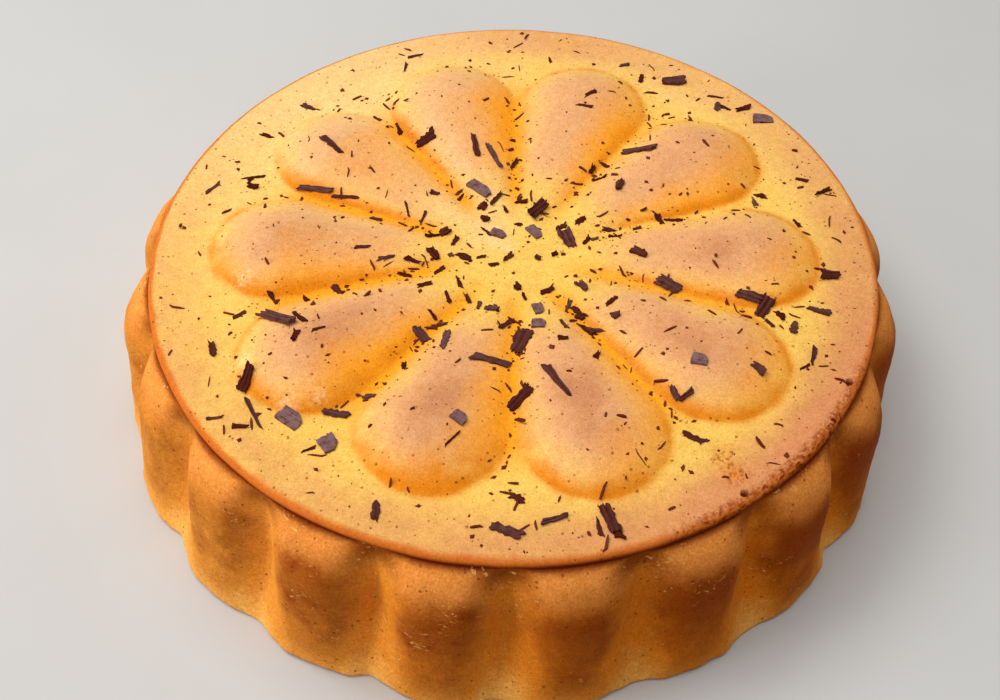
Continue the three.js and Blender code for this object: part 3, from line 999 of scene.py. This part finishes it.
def browned_skin(tree, place, patches, colours, patchy_edge):
    """Pale sponge with the layers of browning, painted light and painted shade laid over it in
    order.
    """
    crumbs = speckle(tree, place, 1 / CRUMB_SIZE, detail=3.0)
    skin = paint(colours.sponge)
    for name, strength, breakup, fine in CRUST_LAYERS:
        mixed = add(tree, "ShaderNodeMix", {0: fine, 2: patches, 3: crumbs}).outputs[0]
        mask = broken_up(tree, mask_of(tree, name), mixed, breakup, patchy_edge)
        factor = worked_out(tree, "MULTIPLY", mask, strength)
        skin = laid_over(tree, factor, skin, paint(getattr(colours, name)))
    return skin


def scuffs_of_wall(tree, place, patches):
    """A mask of pale scuffs here and there on the side wall."""
    stretched = add(tree, "ShaderNodeMapping", {"Vector": place, "Scale": SCUFF_SCALE}).outputs[0]
    curled = speckle(tree, stretched, 1.0, detail=3.0, curl=1.0)
    scuffs = stepped(tree, curled, *SCUFF_EDGE)
    scuffed = worked_out(tree, "MULTIPLY", scuffs, stepped(tree, patches, *SCUFFED_PATCHES))
    scuffed = worked_out(tree, "MULTIPLY", scuffed, mask_of(tree, "groove"))
    return worked_out(tree, "MULTIPLY", scuffed, SCUFF_STRENGTH)


def crust_material(relief, colours, patchy_edge, crumb_grain):
    """Baked skin: pale sponge browned by layers, some of which are painted light and shade, with
    grain, pores darkened as painted shade and pale scuffs on the wall.
    """
    material, tree, surface = new_material("baked_crust", specular=0.02)
    place = add(tree, "ShaderNodeTexCoord").outputs["Object"]
    patches = speckle(tree, place, 1 / PATCH_SIZE, detail=4.0)
    skin = browned_skin(tree, place, patches, colours, patchy_edge)
    skin = laid_over(tree, scuffs_of_wall(tree, place, patches), skin, paint(colours.fleck))
    grain = grained(tree, place, relief, crumb_grain)
    tone = ranged(tree, grain["Grain"], 0, 1)
    toned = laid_over(tree, tone, paint(GRAIN_HOLLOW), paint(GRAIN_TOP))
    skin = laid_over(tree, 1.0, skin, toned, "MULTIPLY")
    spots = ranged(tree, speckle(tree, place, 1 / SPOT_SIZE), *SPOT_TONES)
    on_wall = worked_out(tree, "MULTIPLY", mask_of(tree, "groove"), SPOT_STRENGTH)
    skin = laid_over(tree, on_wall, skin, spots, "MULTIPLY")
    # Painted shade inside the pores and the pits
    pores = worked_out(tree, "MULTIPLY", grain["Pores"], PORE_STRENGTH)
    dark = worked_out(tree, "MAXIMUM", pores, mask_of(tree, "pit"))
    skin = laid_over(tree, dark, skin, paint(colours.pore_shade))
    finish_surface(
        tree,
        surface,
        Base_Color=skin,
        Roughness=ranged(tree, grain["Grain"], 0.55, 0.72),
        Normal=bumped(tree, grain["Height"], strength=0.5, depth=0.35 * MM),
    )
    return material


def base_material(relief, colours, patchy_edge, crumb_grain):
    """Crust of the underside: brown with paler patches."""
    material, tree, surface = new_material("base_crust", specular=0.2)
    place = add(tree, "ShaderNodeTexCoord").outputs["Object"]
    patches = speckle(tree, place, 1 / PATCH_SIZE, detail=4.0)
    mask = broken_up(tree, BASE_PALENESS, patches, BASE_BREAKUP, patchy_edge)
    skin = laid_over(tree, mask, paint(colours.base), paint(colours.foot))
    grain = grained(tree, place, relief, crumb_grain)
    skin = laid_over(tree, 1.0, skin, ranged(tree, grain["Grain"], 0.86, 1.08), "MULTIPLY")
    # Painted shade inside the underside's pores
    pores = worked_out(tree, "MULTIPLY", grain["Pores"], BASE_PORE_STRENGTH)
    skin = laid_over(tree, pores, skin, paint(colours.pore_shade))
    finish_surface(
        tree,
        surface,
        Base_Color=skin,
        Roughness=ranged(tree, grain["Grain"], 0.6, 0.8),
        Normal=bumped(tree, grain["Height"], strength=0.6, depth=0.5 * MM),
    )
    return material


STREAK_SCALE = 5.0
CLOUD_SCALE = 600
BLOOM_SHEEN_EDGE = (0.68, 1.12)


def chocolate_material(name, dark, bloom_sheen_colour):
    """Chocolate: fine streaks along the cut, a grey painted reflection of the lights with some real
    greying where it is smooth, and a dull sheen.
    """
    material, tree, surface = new_material(name, specular=0.05)
    place = add(tree, "ShaderNodeTexCoord").outputs["Object"]
    across = {"W": mask_of(tree, "streak"), "Scale": STREAK_SCALE, "Detail": 3.0}
    streaks = add(tree, "ShaderNodeTexNoise", across, noise_dimensions="1D").outputs["Fac"]
    cloudy = speckle(tree, place, CLOUD_SCALE, detail=3.0)
    height = worked_out(tree, "ADD", streaks, cloudy)
    smooth = stepped(tree, height, *BLOOM_SHEEN_EDGE)
    bloom = worked_out(tree, "MULTIPLY", smooth, mask_of(tree, "bloom"))
    body = laid_over(tree, bloom, paint(dark), paint(bloom_sheen_colour))
    finish_surface(
        tree,
        surface,
        Base_Color=body,
        Roughness=ranged(tree, cloudy, 0.42, 0.6),
        Normal=bumped(tree, height, strength=0.5, depth=0.2 * MM),
    )
    return material


# Pieces


def show_piece(name, mesh, materials):
    """Puts a finished mesh in the scene as a piece of the cake."""
    piece = bpy.data.objects.new(name, mesh)
    for material in materials:
        mesh.materials.append(material)
    bpy.context.scene.collection.objects.link(piece)
    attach(piece, BODY)
    return piece


def keep_mask(mesh, name, values):
    layer = mesh.attributes.new(name, "FLOAT", "POINT")
    layer.data.foreach_set("value", np.asarray(values, dtype=np.float32))


class SAVOY_OT_bake_sponge(bpy.types.Operator):
    """Turn the drum, swell its flutes and petals and brown its crust"""

    bl_idname = "savoy.bake_sponge"
    bl_label = "Bake sponge"

    def execute(self, context):
        scene = context.scene
        form = scene.savoy_form
        relief = scene.savoy_relief
        colours = scene.savoy_colours
        mesh = bpy.data.meshes.new(SPONGE_PIECE)
        drum = turned_drum(form, relief)
        drum.to_mesh(mesh)
        drum.free()
        plain = np.empty(3 * len(mesh.vertices), dtype=np.float32)
        mesh.vertices.foreach_get("co", plain)
        cake = CakeSurface(form, relief, plain.reshape(-1, 3).astype(float))
        mesh.vertices.foreach_set("co", cake.points().astype(np.float32).ravel())
        for name, mask in cake.baking().items():
            keep_mask(mesh, name, mask)
        mesh.shade_smooth()
        mesh.update()
        shared = relief, colours, patchy_edge_group(), crumb_grain_group()
        materials = [crust_material(*shared), base_material(*shared)]
        sponge = show_piece(SPONGE_PIECE, mesh, materials)
        for face in mesh.polygons:
            face.material_index = int(all(cake.on_base[corner] for corner in face.vertices))
        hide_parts(CAKE_NODE)
        return {"FINISHED"}


# Chocolate laid on the top

SMALL_LENGTH = (3, 7)
SMALL_WIDTH = (1.2, 2.5)
SCATTER_SEED = 20
VALLEY_HALF_WIDTH = 2
CENTRE_PATCH = 26
VALLEY_REACH = 88
RING_BAND = (92, 102)
DRAW_FACTOR = 48271
DRAW_MODULUS = 2147483647
SHAVING_SLANT = 0.22


def seeded_draws(seed):
    """The same draws between 0 and 1 each time."""
    state = seed
    while True:
        state = state * DRAW_FACTOR % DRAW_MODULUS
        yield state / DRAW_MODULUS


def between(span, share):
    return span[0] + (span[1] - span[0]) * share


def scattered_shavings(form, number):
    """Smaller shavings: thickest in the centre and along the valleys, thinner on the ring."""
    draws = seeded_draws(SCATTER_SEED)
    for index in range(number):
        valley = (math.floor(next(draws) * form.petals) + 0.5) * TAU / form.petals
        zone = index % 4
        radius = between(RING_BAND, next(draws))
        angle = next(draws) * TAU
        if zone < 2:
            radius = between((CENTRE_PATCH, VALLEY_REACH), next(draws))
            angle = valley + between((-VALLEY_HALF_WIDTH, VALLEY_HALF_WIDTH), next(draws)) / radius
        elif zone == 2:
            radius = CENTRE_PATCH * math.sqrt(next(draws))
        heading = 360 * next(draws)
        size = between(SMALL_LENGTH, next(draws)), between(SMALL_WIDTH, next(draws))
        yield (radius * math.cos(angle), radius * math.sin(angle), heading, *size)


class Top:
    """The finished top of the sponge, for laying things on it."""

    DROP_FROM = 0.2

    def __init__(self, form):
        sponge = bpy.data.objects.get(SPONGE_PIECE)
        if sponge is None:
            raise RuntimeError("The sponge has to be baked before chocolate is laid on it")
        self.form = form
        self.surface = BVHTree.FromObject(sponge, bpy.context.evaluated_depsgraph_get())

    def moved(self, x, y):
        """Where a point of the true round top lies on the leaning cake."""
        place = in_place(self.form, np.array(x), np.array(y), np.array(self.form.ring_height))
        return float(place[0]), float(place[1])

    def height(self, x, y):
        place = self.surface.ray_cast(Vector((x, y, self.DROP_FROM)), Vector((0, 0, -1)))[0]
        if place is None:
            raise RuntimeError(f"Nothing to lie on at {x:.4f}, {y:.4f}")
        return place.z

    def lying(self, x, y, heading, reach):
        """Axes and place of a thing that lies at x, y along the mean slope there."""
        slope_x = (self.height(x + reach, y) - self.height(x - reach, y)) / (2 * reach)
        slope_y = (self.height(x, y + reach) - self.height(x, y - reach)) / (2 * reach)
        normal = Vector((-slope_x, -slope_y, 1)).normalized()
        across = normal.cross(Vector((math.cos(heading), math.sin(heading), 0))).normalized()
        axes = Matrix((across.cross(normal), across, normal)).transposed().to_4x4()
        return Matrix.Translation((x, y, self.height(x, y))) @ axes


@dataclass
class ShavingKind:
    """How one kind of shaving is cut.

    Thickness, bend and pleat height are lengths. Ragged, taper and tilt are shares of its size.
    Corners are broken off beyond corner, and share is what is left of the size in its rows.
    """

    steps: tuple
    thickness: float
    ragged: float
    taper: float
    bend: float
    tilt: float
    # How much painted reflection its smooth faces get
    bloom: float
    pleats: float = 0
    pleat_height: float = 0
    corner: float = 2
    share: float = 1


TILE = ShavingKind(
    steps=(5, 5), thickness=1.1 * MM, ragged=0.05, taper=0.2, bend=0.1 * MM, tilt=0.13, bloom=1,
    corner=1.3,
)
FOLD = ShavingKind(
    steps=(9, 9), thickness=0.8 * MM, ragged=0.18, taper=0.35, bend=0.5 * MM, tilt=0.06, bloom=0.45,
    pleats=2.2, pleat_height=0.7 * MM,
)
BAR = ShavingKind(
    steps=(9, 5), thickness=0.7 * MM, ragged=0.24, taper=0.5, bend=0.4 * MM, tilt=0.05, bloom=0.55,
    pleats=1.5, pleat_height=0.5 * MM,
)
CHIP = ShavingKind(
    steps=(6, 4), thickness=0.6 * MM, ragged=0.4, taper=0.75, bend=0.5 * MM, tilt=0.1, bloom=0.2,
    pleats=1, pleat_height=0.4 * MM, corner=1.5,
)
CHUNK = ShavingKind(
    steps=(6, 5), thickness=1.0 * MM, ragged=0.25, taper=0.4, bend=0.3 * MM, tilt=0.15, bloom=0.32,
    pleats=1.2, pleat_height=0.5 * MM, corner=1.4, share=0.72,
)
SLIVER = ShavingKind(
    steps=(8, 3), thickness=0.55 * MM, ragged=0.3, taper=0.6, bend=0.5 * MM, tilt=0.06, bloom=0.25,
    pleats=0.8, pleat_height=0.3 * MM, share=0.75,
)
EITHER_WAY = (-1, 1)
BEND_SPAN = (-0.4, 1)
BLOOM_SHEEN_POWER = (0.4, 3.4)
PLEAT_SLANT = 0.35
STREAK_SPAN = 40
SHEET_EDGE = 0.99


def cut_shaving(shavings, kind, size, draws):
    """One shaving about the origin: a ragged sheet, pleated along its length and thickened."""
    streak, bloom = (shavings.verts.layers.float[name] for name in ("streak", "bloom"))
    half, side = (extent * MM / 2 for extent in size)
    long_share = 1 - SHAVING_SLANT / 2
    skew = SHAVING_SLANT / 2
    phase = next(draws) * TAU
    bend = kind.bend * between(BEND_SPAN, next(draws))
    tilt = kind.tilt * between(EITHER_WAY, next(draws))
    taper = kind.taper * between(EITHER_WAY, next(draws))
    offset = STREAK_SPAN * next(draws)
    lit = kind.bloom ** between(BLOOM_SHEEN_POWER, next(draws))
    columns, rows = kind.steps
    grid = bmesh.ops.create_grid(shavings, x_segments=columns, y_segments=rows, size=1)
    sheet = grid["verts"]
    for point in sheet:
        along, across = point.co.x, point.co.y
        over = max(0, along + across - kind.corner) / 2
        along -= over
        across -= over
        torn = kind.ragged * between(EITHER_WAY, next(draws))
        if abs(along) > SHEET_EDGE:
            along += 2 * torn * side / half
        if abs(across) > SHEET_EDGE:
            across += torn
        fold = abs(math.sin(math.pi * kind.pleats * across / 2 + PLEAT_SLANT * along + phase))
        narrowed = across * (1 - abs(taper) / 2 + taper * along / 2)
        point[streak] = offset + 2 * across
        point[bloom] = lit
        point.co.x = half * (long_share * along + skew * across)
        point.co.y = side * (long_share * narrowed - skew * along)
        point.co.z = kind.pleat_height * fold + bend * along * along + tilt * half * along
    faces = list({face for point in sheet for face in point.link_faces})
    risen = bmesh.ops.extrude_face_region(shavings, geom=faces, use_keep_orig=True)["geom"]
    upper = [part for part in risen if isinstance(part, bmesh.types.BMVert)]
    bmesh.ops.translate(shavings, verts=upper, vec=(0, 0, kind.thickness))
    return sheet + upper


class SAVOY_OT_lay_shavings(bpy.types.Operator):
    """Cut the chocolate shavings and lay them on the petals, in the valleys and on the ring"""

    bl_idname = "savoy.lay_shavings"
    bl_label = "Lay shavings"

    def execute(self, context):
        form = context.scene.savoy_form
        chocolate = context.scene.savoy_chocolate
        top = Top(form)
        draws = seeded_draws(SCATTER_SEED + 1)
        shavings = bmesh.new()
        for name in ("streak", "bloom"):
            shavings.verts.layers.float.new(name)
        laid = [
            (TILE, TILES),
            (FOLD, FOLDS),
            (BAR, BARS),
            (CHIP, scattered_shavings(form, chocolate.small_shavings)),
            (CHUNK, CHUNKS),
            (SLIVER, SLIVERS),
        ]
        pressed = Matrix.Translation((0, 0, -chocolate.sunk))
        for kind, rows in laid:
            for x, y, heading, *size in rows:
                middle = top.moved(x * MM, y * MM)
                place = top.lying(*middle, math.radians(heading), size[0] * MM / 3)
                points = cut_shaving(shavings, kind, [side * kind.share for side in size], draws)
                bmesh.ops.transform(shavings, matrix=place @ pressed, verts=points)
        bmesh.ops.recalc_face_normals(shavings, faces=shavings.faces)
        mesh = bpy.data.meshes.new("chocolate_shavings")
        shavings.to_mesh(mesh)
        shavings.free()
        material = chocolate_material("dark_chocolate", chocolate.dark, chocolate.bloom)
        piece = show_piece("chocolate_shavings", mesh, [material])
        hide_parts(CAKE_NODE)
        return {"FINISHED"}


# Finer chocolate

STREW_SEED = 7
THIN_BLOOM_SHEEN = 0.08
STREWN_ZONES = {"centre": 0.08, "valley": 0.34, "petal": 0.35, "ring": 0.23}
STREWN_CENTRE = (0, 1.1 * CENTRE_PATCH)
STREWN_PETALS = (28, 88)
STREWN_RING = (87, 105)
BESIDE_VALLEY = 2.6
VALLEY_CROWDING = 1.4


def radius_between(span, share):
    """Radii that spread evenly over a ring's area."""
    return np.sqrt(between((span[0] ** 2, span[1] ** 2), share))


def strewn_places(form, number, rng):
    """Places on the true round top: thickest in the centre and along the valleys."""
    zone = rng.choice(list(STREWN_ZONES), number, p=list(STREWN_ZONES.values()))
    share = rng.random(number)
    angle = rng.random(number) * TAU
    valley = (rng.integers(form.petals, size=number) + 0.5) * TAU / form.petals
    beside = rng.normal(0, BESIDE_VALLEY, number)
    radii = {
        "centre": radius_between(STREWN_CENTRE, share),
        "valley": between((CENTRE_PATCH, VALLEY_REACH), share**VALLEY_CROWDING),
        "petal": radius_between(STREWN_PETALS, share),
        "ring": radius_between(STREWN_RING, share),
    }
    radius = np.select([zone == name for name in radii], list(radii.values()))
    angle = np.where(zone == "valley", valley + beside / radius, angle)
    return radius * np.cos(angle) * MM, radius * np.sin(angle) * MM


def joined_mesh(name, corners, faces, streaks):
    """Many like things as one mesh: corners of each, and faces of the first."""
    things, points = corners.shape[:2]
    shifts = points * np.arange(things)
    mesh = bpy.data.meshes.new(name)
    indices = [list(shift + np.array(face)) for shift in shifts for face in faces]
    mesh.from_pydata(corners.reshape(-1, 3).tolist(), [], indices)
    keep_mask(mesh, "streak", np.repeat(streaks, points))
    keep_mask(mesh, "bloom", np.full(things * points, THIN_BLOOM_SHEEN))
    mesh.update()
    return mesh


SPLINTER_STATIONS = (-1, -0.4, 0.4, 1)
SPLINTER_LENGTH = (1.2, 4.8)
SPLINTER_WIDTH = (0.45, 1)
SHORT_SPLINTERS = 2.2
SPLINTER_TAPER = (0.25, 0.9)
SPLINTER_KINKS = [0, 0, 0, 0.5, -0.5, 0.25]
KINK_SPREAD = 0.05
SPLINTER_LIFT = -0.2
LIFT_SPREAD = 0.7
SPLINTER_SUNK = 0.25 * MM
SPLINTER_THICKNESS = 1.1
SPLINTER_TOP = 0.6
SPLINTER_FACES = [
    (row + corner, row + (corner + 1) % 4, row + 4 + (corner + 1) % 4, row + 4 + corner)
    for row in (0, 4, 8)
    for corner in range(4)
] + [(3, 2, 1, 0), (12, 13, 14, 15)]


def splinter_corners(top, x, y, heading, size, kink, lift, taper):
    """Four cross sections of a thin splinter that follows the top, straight or with a kink."""
    half = size[0] / 2
    along = np.array([math.cos(heading), math.sin(heading)])
    aside = np.array([-along[1], along[0]])
    corners = []
    for station in SPLINTER_STATIONS:
        past_kink = max(0, station - SPLINTER_STATIONS[1])
        middle = np.array([x, y]) + along * half * station + aside * half * kink * past_kink
        width = size[1] * (1 - (1 - taper) * abs(station) ** 2) / 2
        floor = top.height(*middle) - SPLINTER_SUNK + lift * (station + 1) / 2
        thick = SPLINTER_SUNK + SPLINTER_THICKNESS * width
        for sideways, up in ((-1, 0), (1, 0), (SPLINTER_TOP, thick), (-SPLINTER_TOP, thick)):
            corners.append((*(middle + aside * sideways * width), floor + up))
    return corners


SPECK_CORNERS = np.array(
    [(1, 0, 0), (0, 1, 0), (-1, 0, 0), (0, -1, 0), (0, 0, 1), (0, 0, -1)], dtype=float
)
SPECK_FACES = [
    (0, 1, 4), (1, 2, 4), (2, 3, 4), (3, 0, 4), (1, 0, 5), (2, 1, 5), (3, 2, 5), (0, 3, 5),
]
SPECK_SIZE = (0.2, 0.8)
SMALL_SPECKS = 3
SPECK_RAGGED = (0.6, 1.3)
SPECK_STRETCH = (1, 1.8)
SPECK_FLATNESS = 0.6
SPECK_LIFT = 0.1


class SAVOY_OT_strew_splinters(bpy.types.Operator):
    """Strew thin splinters and specks of chocolate over the top"""

    bl_idname = "savoy.strew_splinters"
    bl_label = "Strew splinters and specks"

    def execute(self, context):
        form = context.scene.savoy_form
        chocolate = context.scene.savoy_chocolate
        material = chocolate_material("thin_chocolate", chocolate.thin, chocolate.bloom)
        top = Top(form)
        rng = np.random.default_rng(STREW_SEED)
        splinters = self.splinters(form, chocolate, top, rng)
        specks = self.specks(form, chocolate, top, rng)
        show_piece("chocolate_splinters", splinters, [material])
        show_piece("chocolate_specks", specks, [material])
        return {"FINISHED"}

    def splinters(self, form, chocolate, top, rng):
        number = chocolate.splinters
        places = zip(*strewn_places(form, number, rng))
        long, heading, wide = rng.random((number, 3)).T
        lengths = between(SPLINTER_LENGTH, long**SHORT_SPLINTERS) * MM
        sizes = zip(lengths, between(SPLINTER_WIDTH, wide) * MM)
        corners = []
        for place, way, size in zip(places, TAU * heading, sizes):
            kink = rng.choice(SPLINTER_KINKS) + rng.normal(0, KINK_SPREAD)
            lift = max(0, rng.normal(SPLINTER_LIFT, LIFT_SPREAD)) * MM
            taper = between(SPLINTER_TAPER, rng.random())
            middle = top.moved(*place)
            corners.append(splinter_corners(top, *middle, way, size, kink, lift, taper))
        streaks = STREAK_SPAN * rng.random(number)
        return joined_mesh("chocolate_splinters", np.array(corners), SPLINTER_FACES, streaks)

    def specks(self, form, chocolate, top, rng):
        number = chocolate.specks
        corners = []
        for x, y in zip(*strewn_places(form, number, rng)):
            share, *ragged, spin, long = rng.random(3 + len(SPECK_CORNERS))
            size = between(SPECK_SIZE, share**SMALL_SPECKS) * MM
            shape = SPECK_CORNERS * size * between(SPECK_RAGGED, np.array(ragged)[:, None])
            flat = shape[:, :2] * (between(SPECK_STRETCH, long), 1)
            cosine, sine = math.cos(TAU * spin), math.sin(TAU * spin)
            turned = flat @ np.array([[cosine, sine], [-sine, cosine]])
            place = top.moved(x, y)
            height = SPECK_FLATNESS * shape[:, 2] + top.height(*place) + SPECK_LIFT * size
            corners.append(np.column_stack([turned + place, height]))
        streaks = STREAK_SPAN * rng.random(number)
        return joined_mesh("chocolate_specks", np.array(corners), SPECK_FACES, streaks)


# Stage

CAMERA_PLACE = (-2.37 * MM, -269.43 * MM, 331.26 * MM)
SENSOR_WIDTH = 36
CLIP_START = 10 * MM
AIM = Vector((0, 0, 30 * MM))
FLOOR_ROUGHNESS = 0.85
FLOOR_CLOUD_SCALE = 6.0
FLOOR_TONES = (0.98, 1.02)
FLOOR_SEGMENTS = 96
SOFTBOXES = {
    "key_softbox": ("key_power", (-0.75, 0.3, 1.3), 0.6),
    "overhead_softbox": ("overhead_power", (-0.25, 0.1, 1.5), 1.5),
    "side_softbox": ("side_power", (-1.1, -0.4, 0.18), 0.5),
}


def floor_material(stage):
    material, tree, surface = new_material("pale_floor", specular=0.2)
    place = add(tree, "ShaderNodeTexCoord").outputs["Object"]
    shade = ranged(tree, speckle(tree, place, FLOOR_CLOUD_SCALE, detail=3.0), *FLOOR_TONES)
    tint = laid_over(tree, 1.0, paint(stage.floor), shade, "MULTIPLY")
    finish_surface(tree, surface, Base_Color=tint)
    surface["Roughness"].default_value = FLOOR_ROUGHNESS
    return material


class SAVOY_OT_set_stage(bpy.types.Operator):
    """Lay the floor, hang the lights and set up the camera"""

    bl_idname = "savoy.set_stage"
    bl_label = "Set stage"

    def execute(self, context):
        scene = context.scene
        stage = scene.savoy_stage
        self.lay_floor(scene, stage)
        for name, (power, place, size) in SOFTBOXES.items():
            self.hang_softbox(scene, name, getattr(stage, power), Vector(place), size)
        self.set_sky(scene, stage)
        self.set_camera(scene, stage)
        scene.view_settings.view_transform = "Standard"
        return {"FINISHED"}

    def lay_floor(self, scene, stage):
        disc = bmesh.new()
        bmesh.ops.create_circle(
            disc, cap_ends=True, segments=FLOOR_SEGMENTS, radius=stage.floor_radius
        )
        mesh = bpy.data.meshes.new("floor")
        disc.to_mesh(mesh)
        disc.free()
        mesh.materials.append(floor_material(stage))
        floor = bpy.data.objects.new("floor", mesh)
        scene.collection.objects.link(floor)
        floor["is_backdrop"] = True

    def hang_softbox(self, scene, name, power, place, size):
        lamp = bpy.data.lights.new(name, "AREA")
        lamp.energy = power
        lamp.size = size
        softbox = bpy.data.objects.new(name, lamp)
        softbox.location = place
        softbox.rotation_euler = (AIM - place).to_track_quat("-Z", "Y").to_euler()
        scene.collection.objects.link(softbox)

    def set_sky(self, scene, stage):
        scene.world = bpy.data.worlds.new("studio")
        scene.world.use_nodes = True
        sky = scene.world.node_tree.nodes["Background"]
        sky.inputs["Color"].default_value = (1, 1, 1, 1)
        sky.inputs["Strength"].default_value = stage.sky_strength

    def set_camera(self, scene, stage):
        pitch, roll = stage.camera_pitch, stage.camera_roll
        ahead = Vector((0, math.cos(pitch), -math.sin(pitch)))
        level = Vector((1, 0, 0))
        upright = level.cross(ahead)
        right = math.cos(roll) * level + math.sin(roll) * upright
        up = math.cos(roll) * upright - math.sin(roll) * level
        lens = bpy.data.cameras.new("camera")
        lens.lens = stage.focal_length
        lens.sensor_width = SENSOR_WIDTH
        lens.sensor_fit = "HORIZONTAL"
        lens.clip_start = CLIP_START
        camera = bpy.data.objects.new("camera", lens)
        axes = Matrix((right, up, -ahead)).transposed().to_4x4()
        camera.matrix_world = Matrix.Translation(CAMERA_PLACE) @ axes
        scene.collection.objects.link(camera)
        scene.camera = camera


class SAVOY_PT_cake(bpy.types.Panel):
    """Buttons and settings of the cake"""

    bl_label = "Savoy cake"
    bl_idname = "SAVOY_PT_cake"
    bl_space_type = "VIEW_3D"
    bl_region_type = "UI"
    bl_category = "Savoy cake"

    def draw(self, context):
        for operator in OPERATORS:
            self.layout.operator(operator.bl_idname)
        for name, group in SETTINGS.items():
            box = self.layout.box()
            settings = getattr(context.scene, name)
            for setting in group.__annotations__:
                box.prop(settings, setting)


SETTINGS = {
    "savoy_form": SpongeForm,
    "savoy_relief": CrustRelief,
    "savoy_colours": CrustColours,
    "savoy_chocolate": ChocolateSettings,
    "savoy_stage": StageSettings,
}
OPERATORS = [
    SAVOY_OT_bake_sponge,
    SAVOY_OT_lay_shavings,
    SAVOY_OT_strew_splinters,
    SAVOY_OT_set_stage,
]


def register():
    for group in (*SETTINGS.values(), *OPERATORS, SAVOY_PT_cake):
        bpy.utils.register_class(group)
    for name, group in SETTINGS.items():
        setattr(bpy.types.Scene, name, PointerProperty(type=group))


def unregister():
    for name in SETTINGS:
        delattr(bpy.types.Scene, name)
    for group in (SAVOY_PT_cake, *reversed(OPERATORS), *reversed(SETTINGS.values())):
        bpy.utils.unregister_class(group)


def main():
    register()
    bpy.ops.savoy.bake_sponge()
    bpy.ops.savoy.lay_shavings()
    bpy.ops.savoy.strew_splinters()
    bpy.ops.savoy.set_stage()
    boxes = {"cad": CAD_BOX, "visual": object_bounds()}
    {name: [list(corner) for corner in box] for name, box in boxes.items()}


if __name__ == "__main__":
    main()
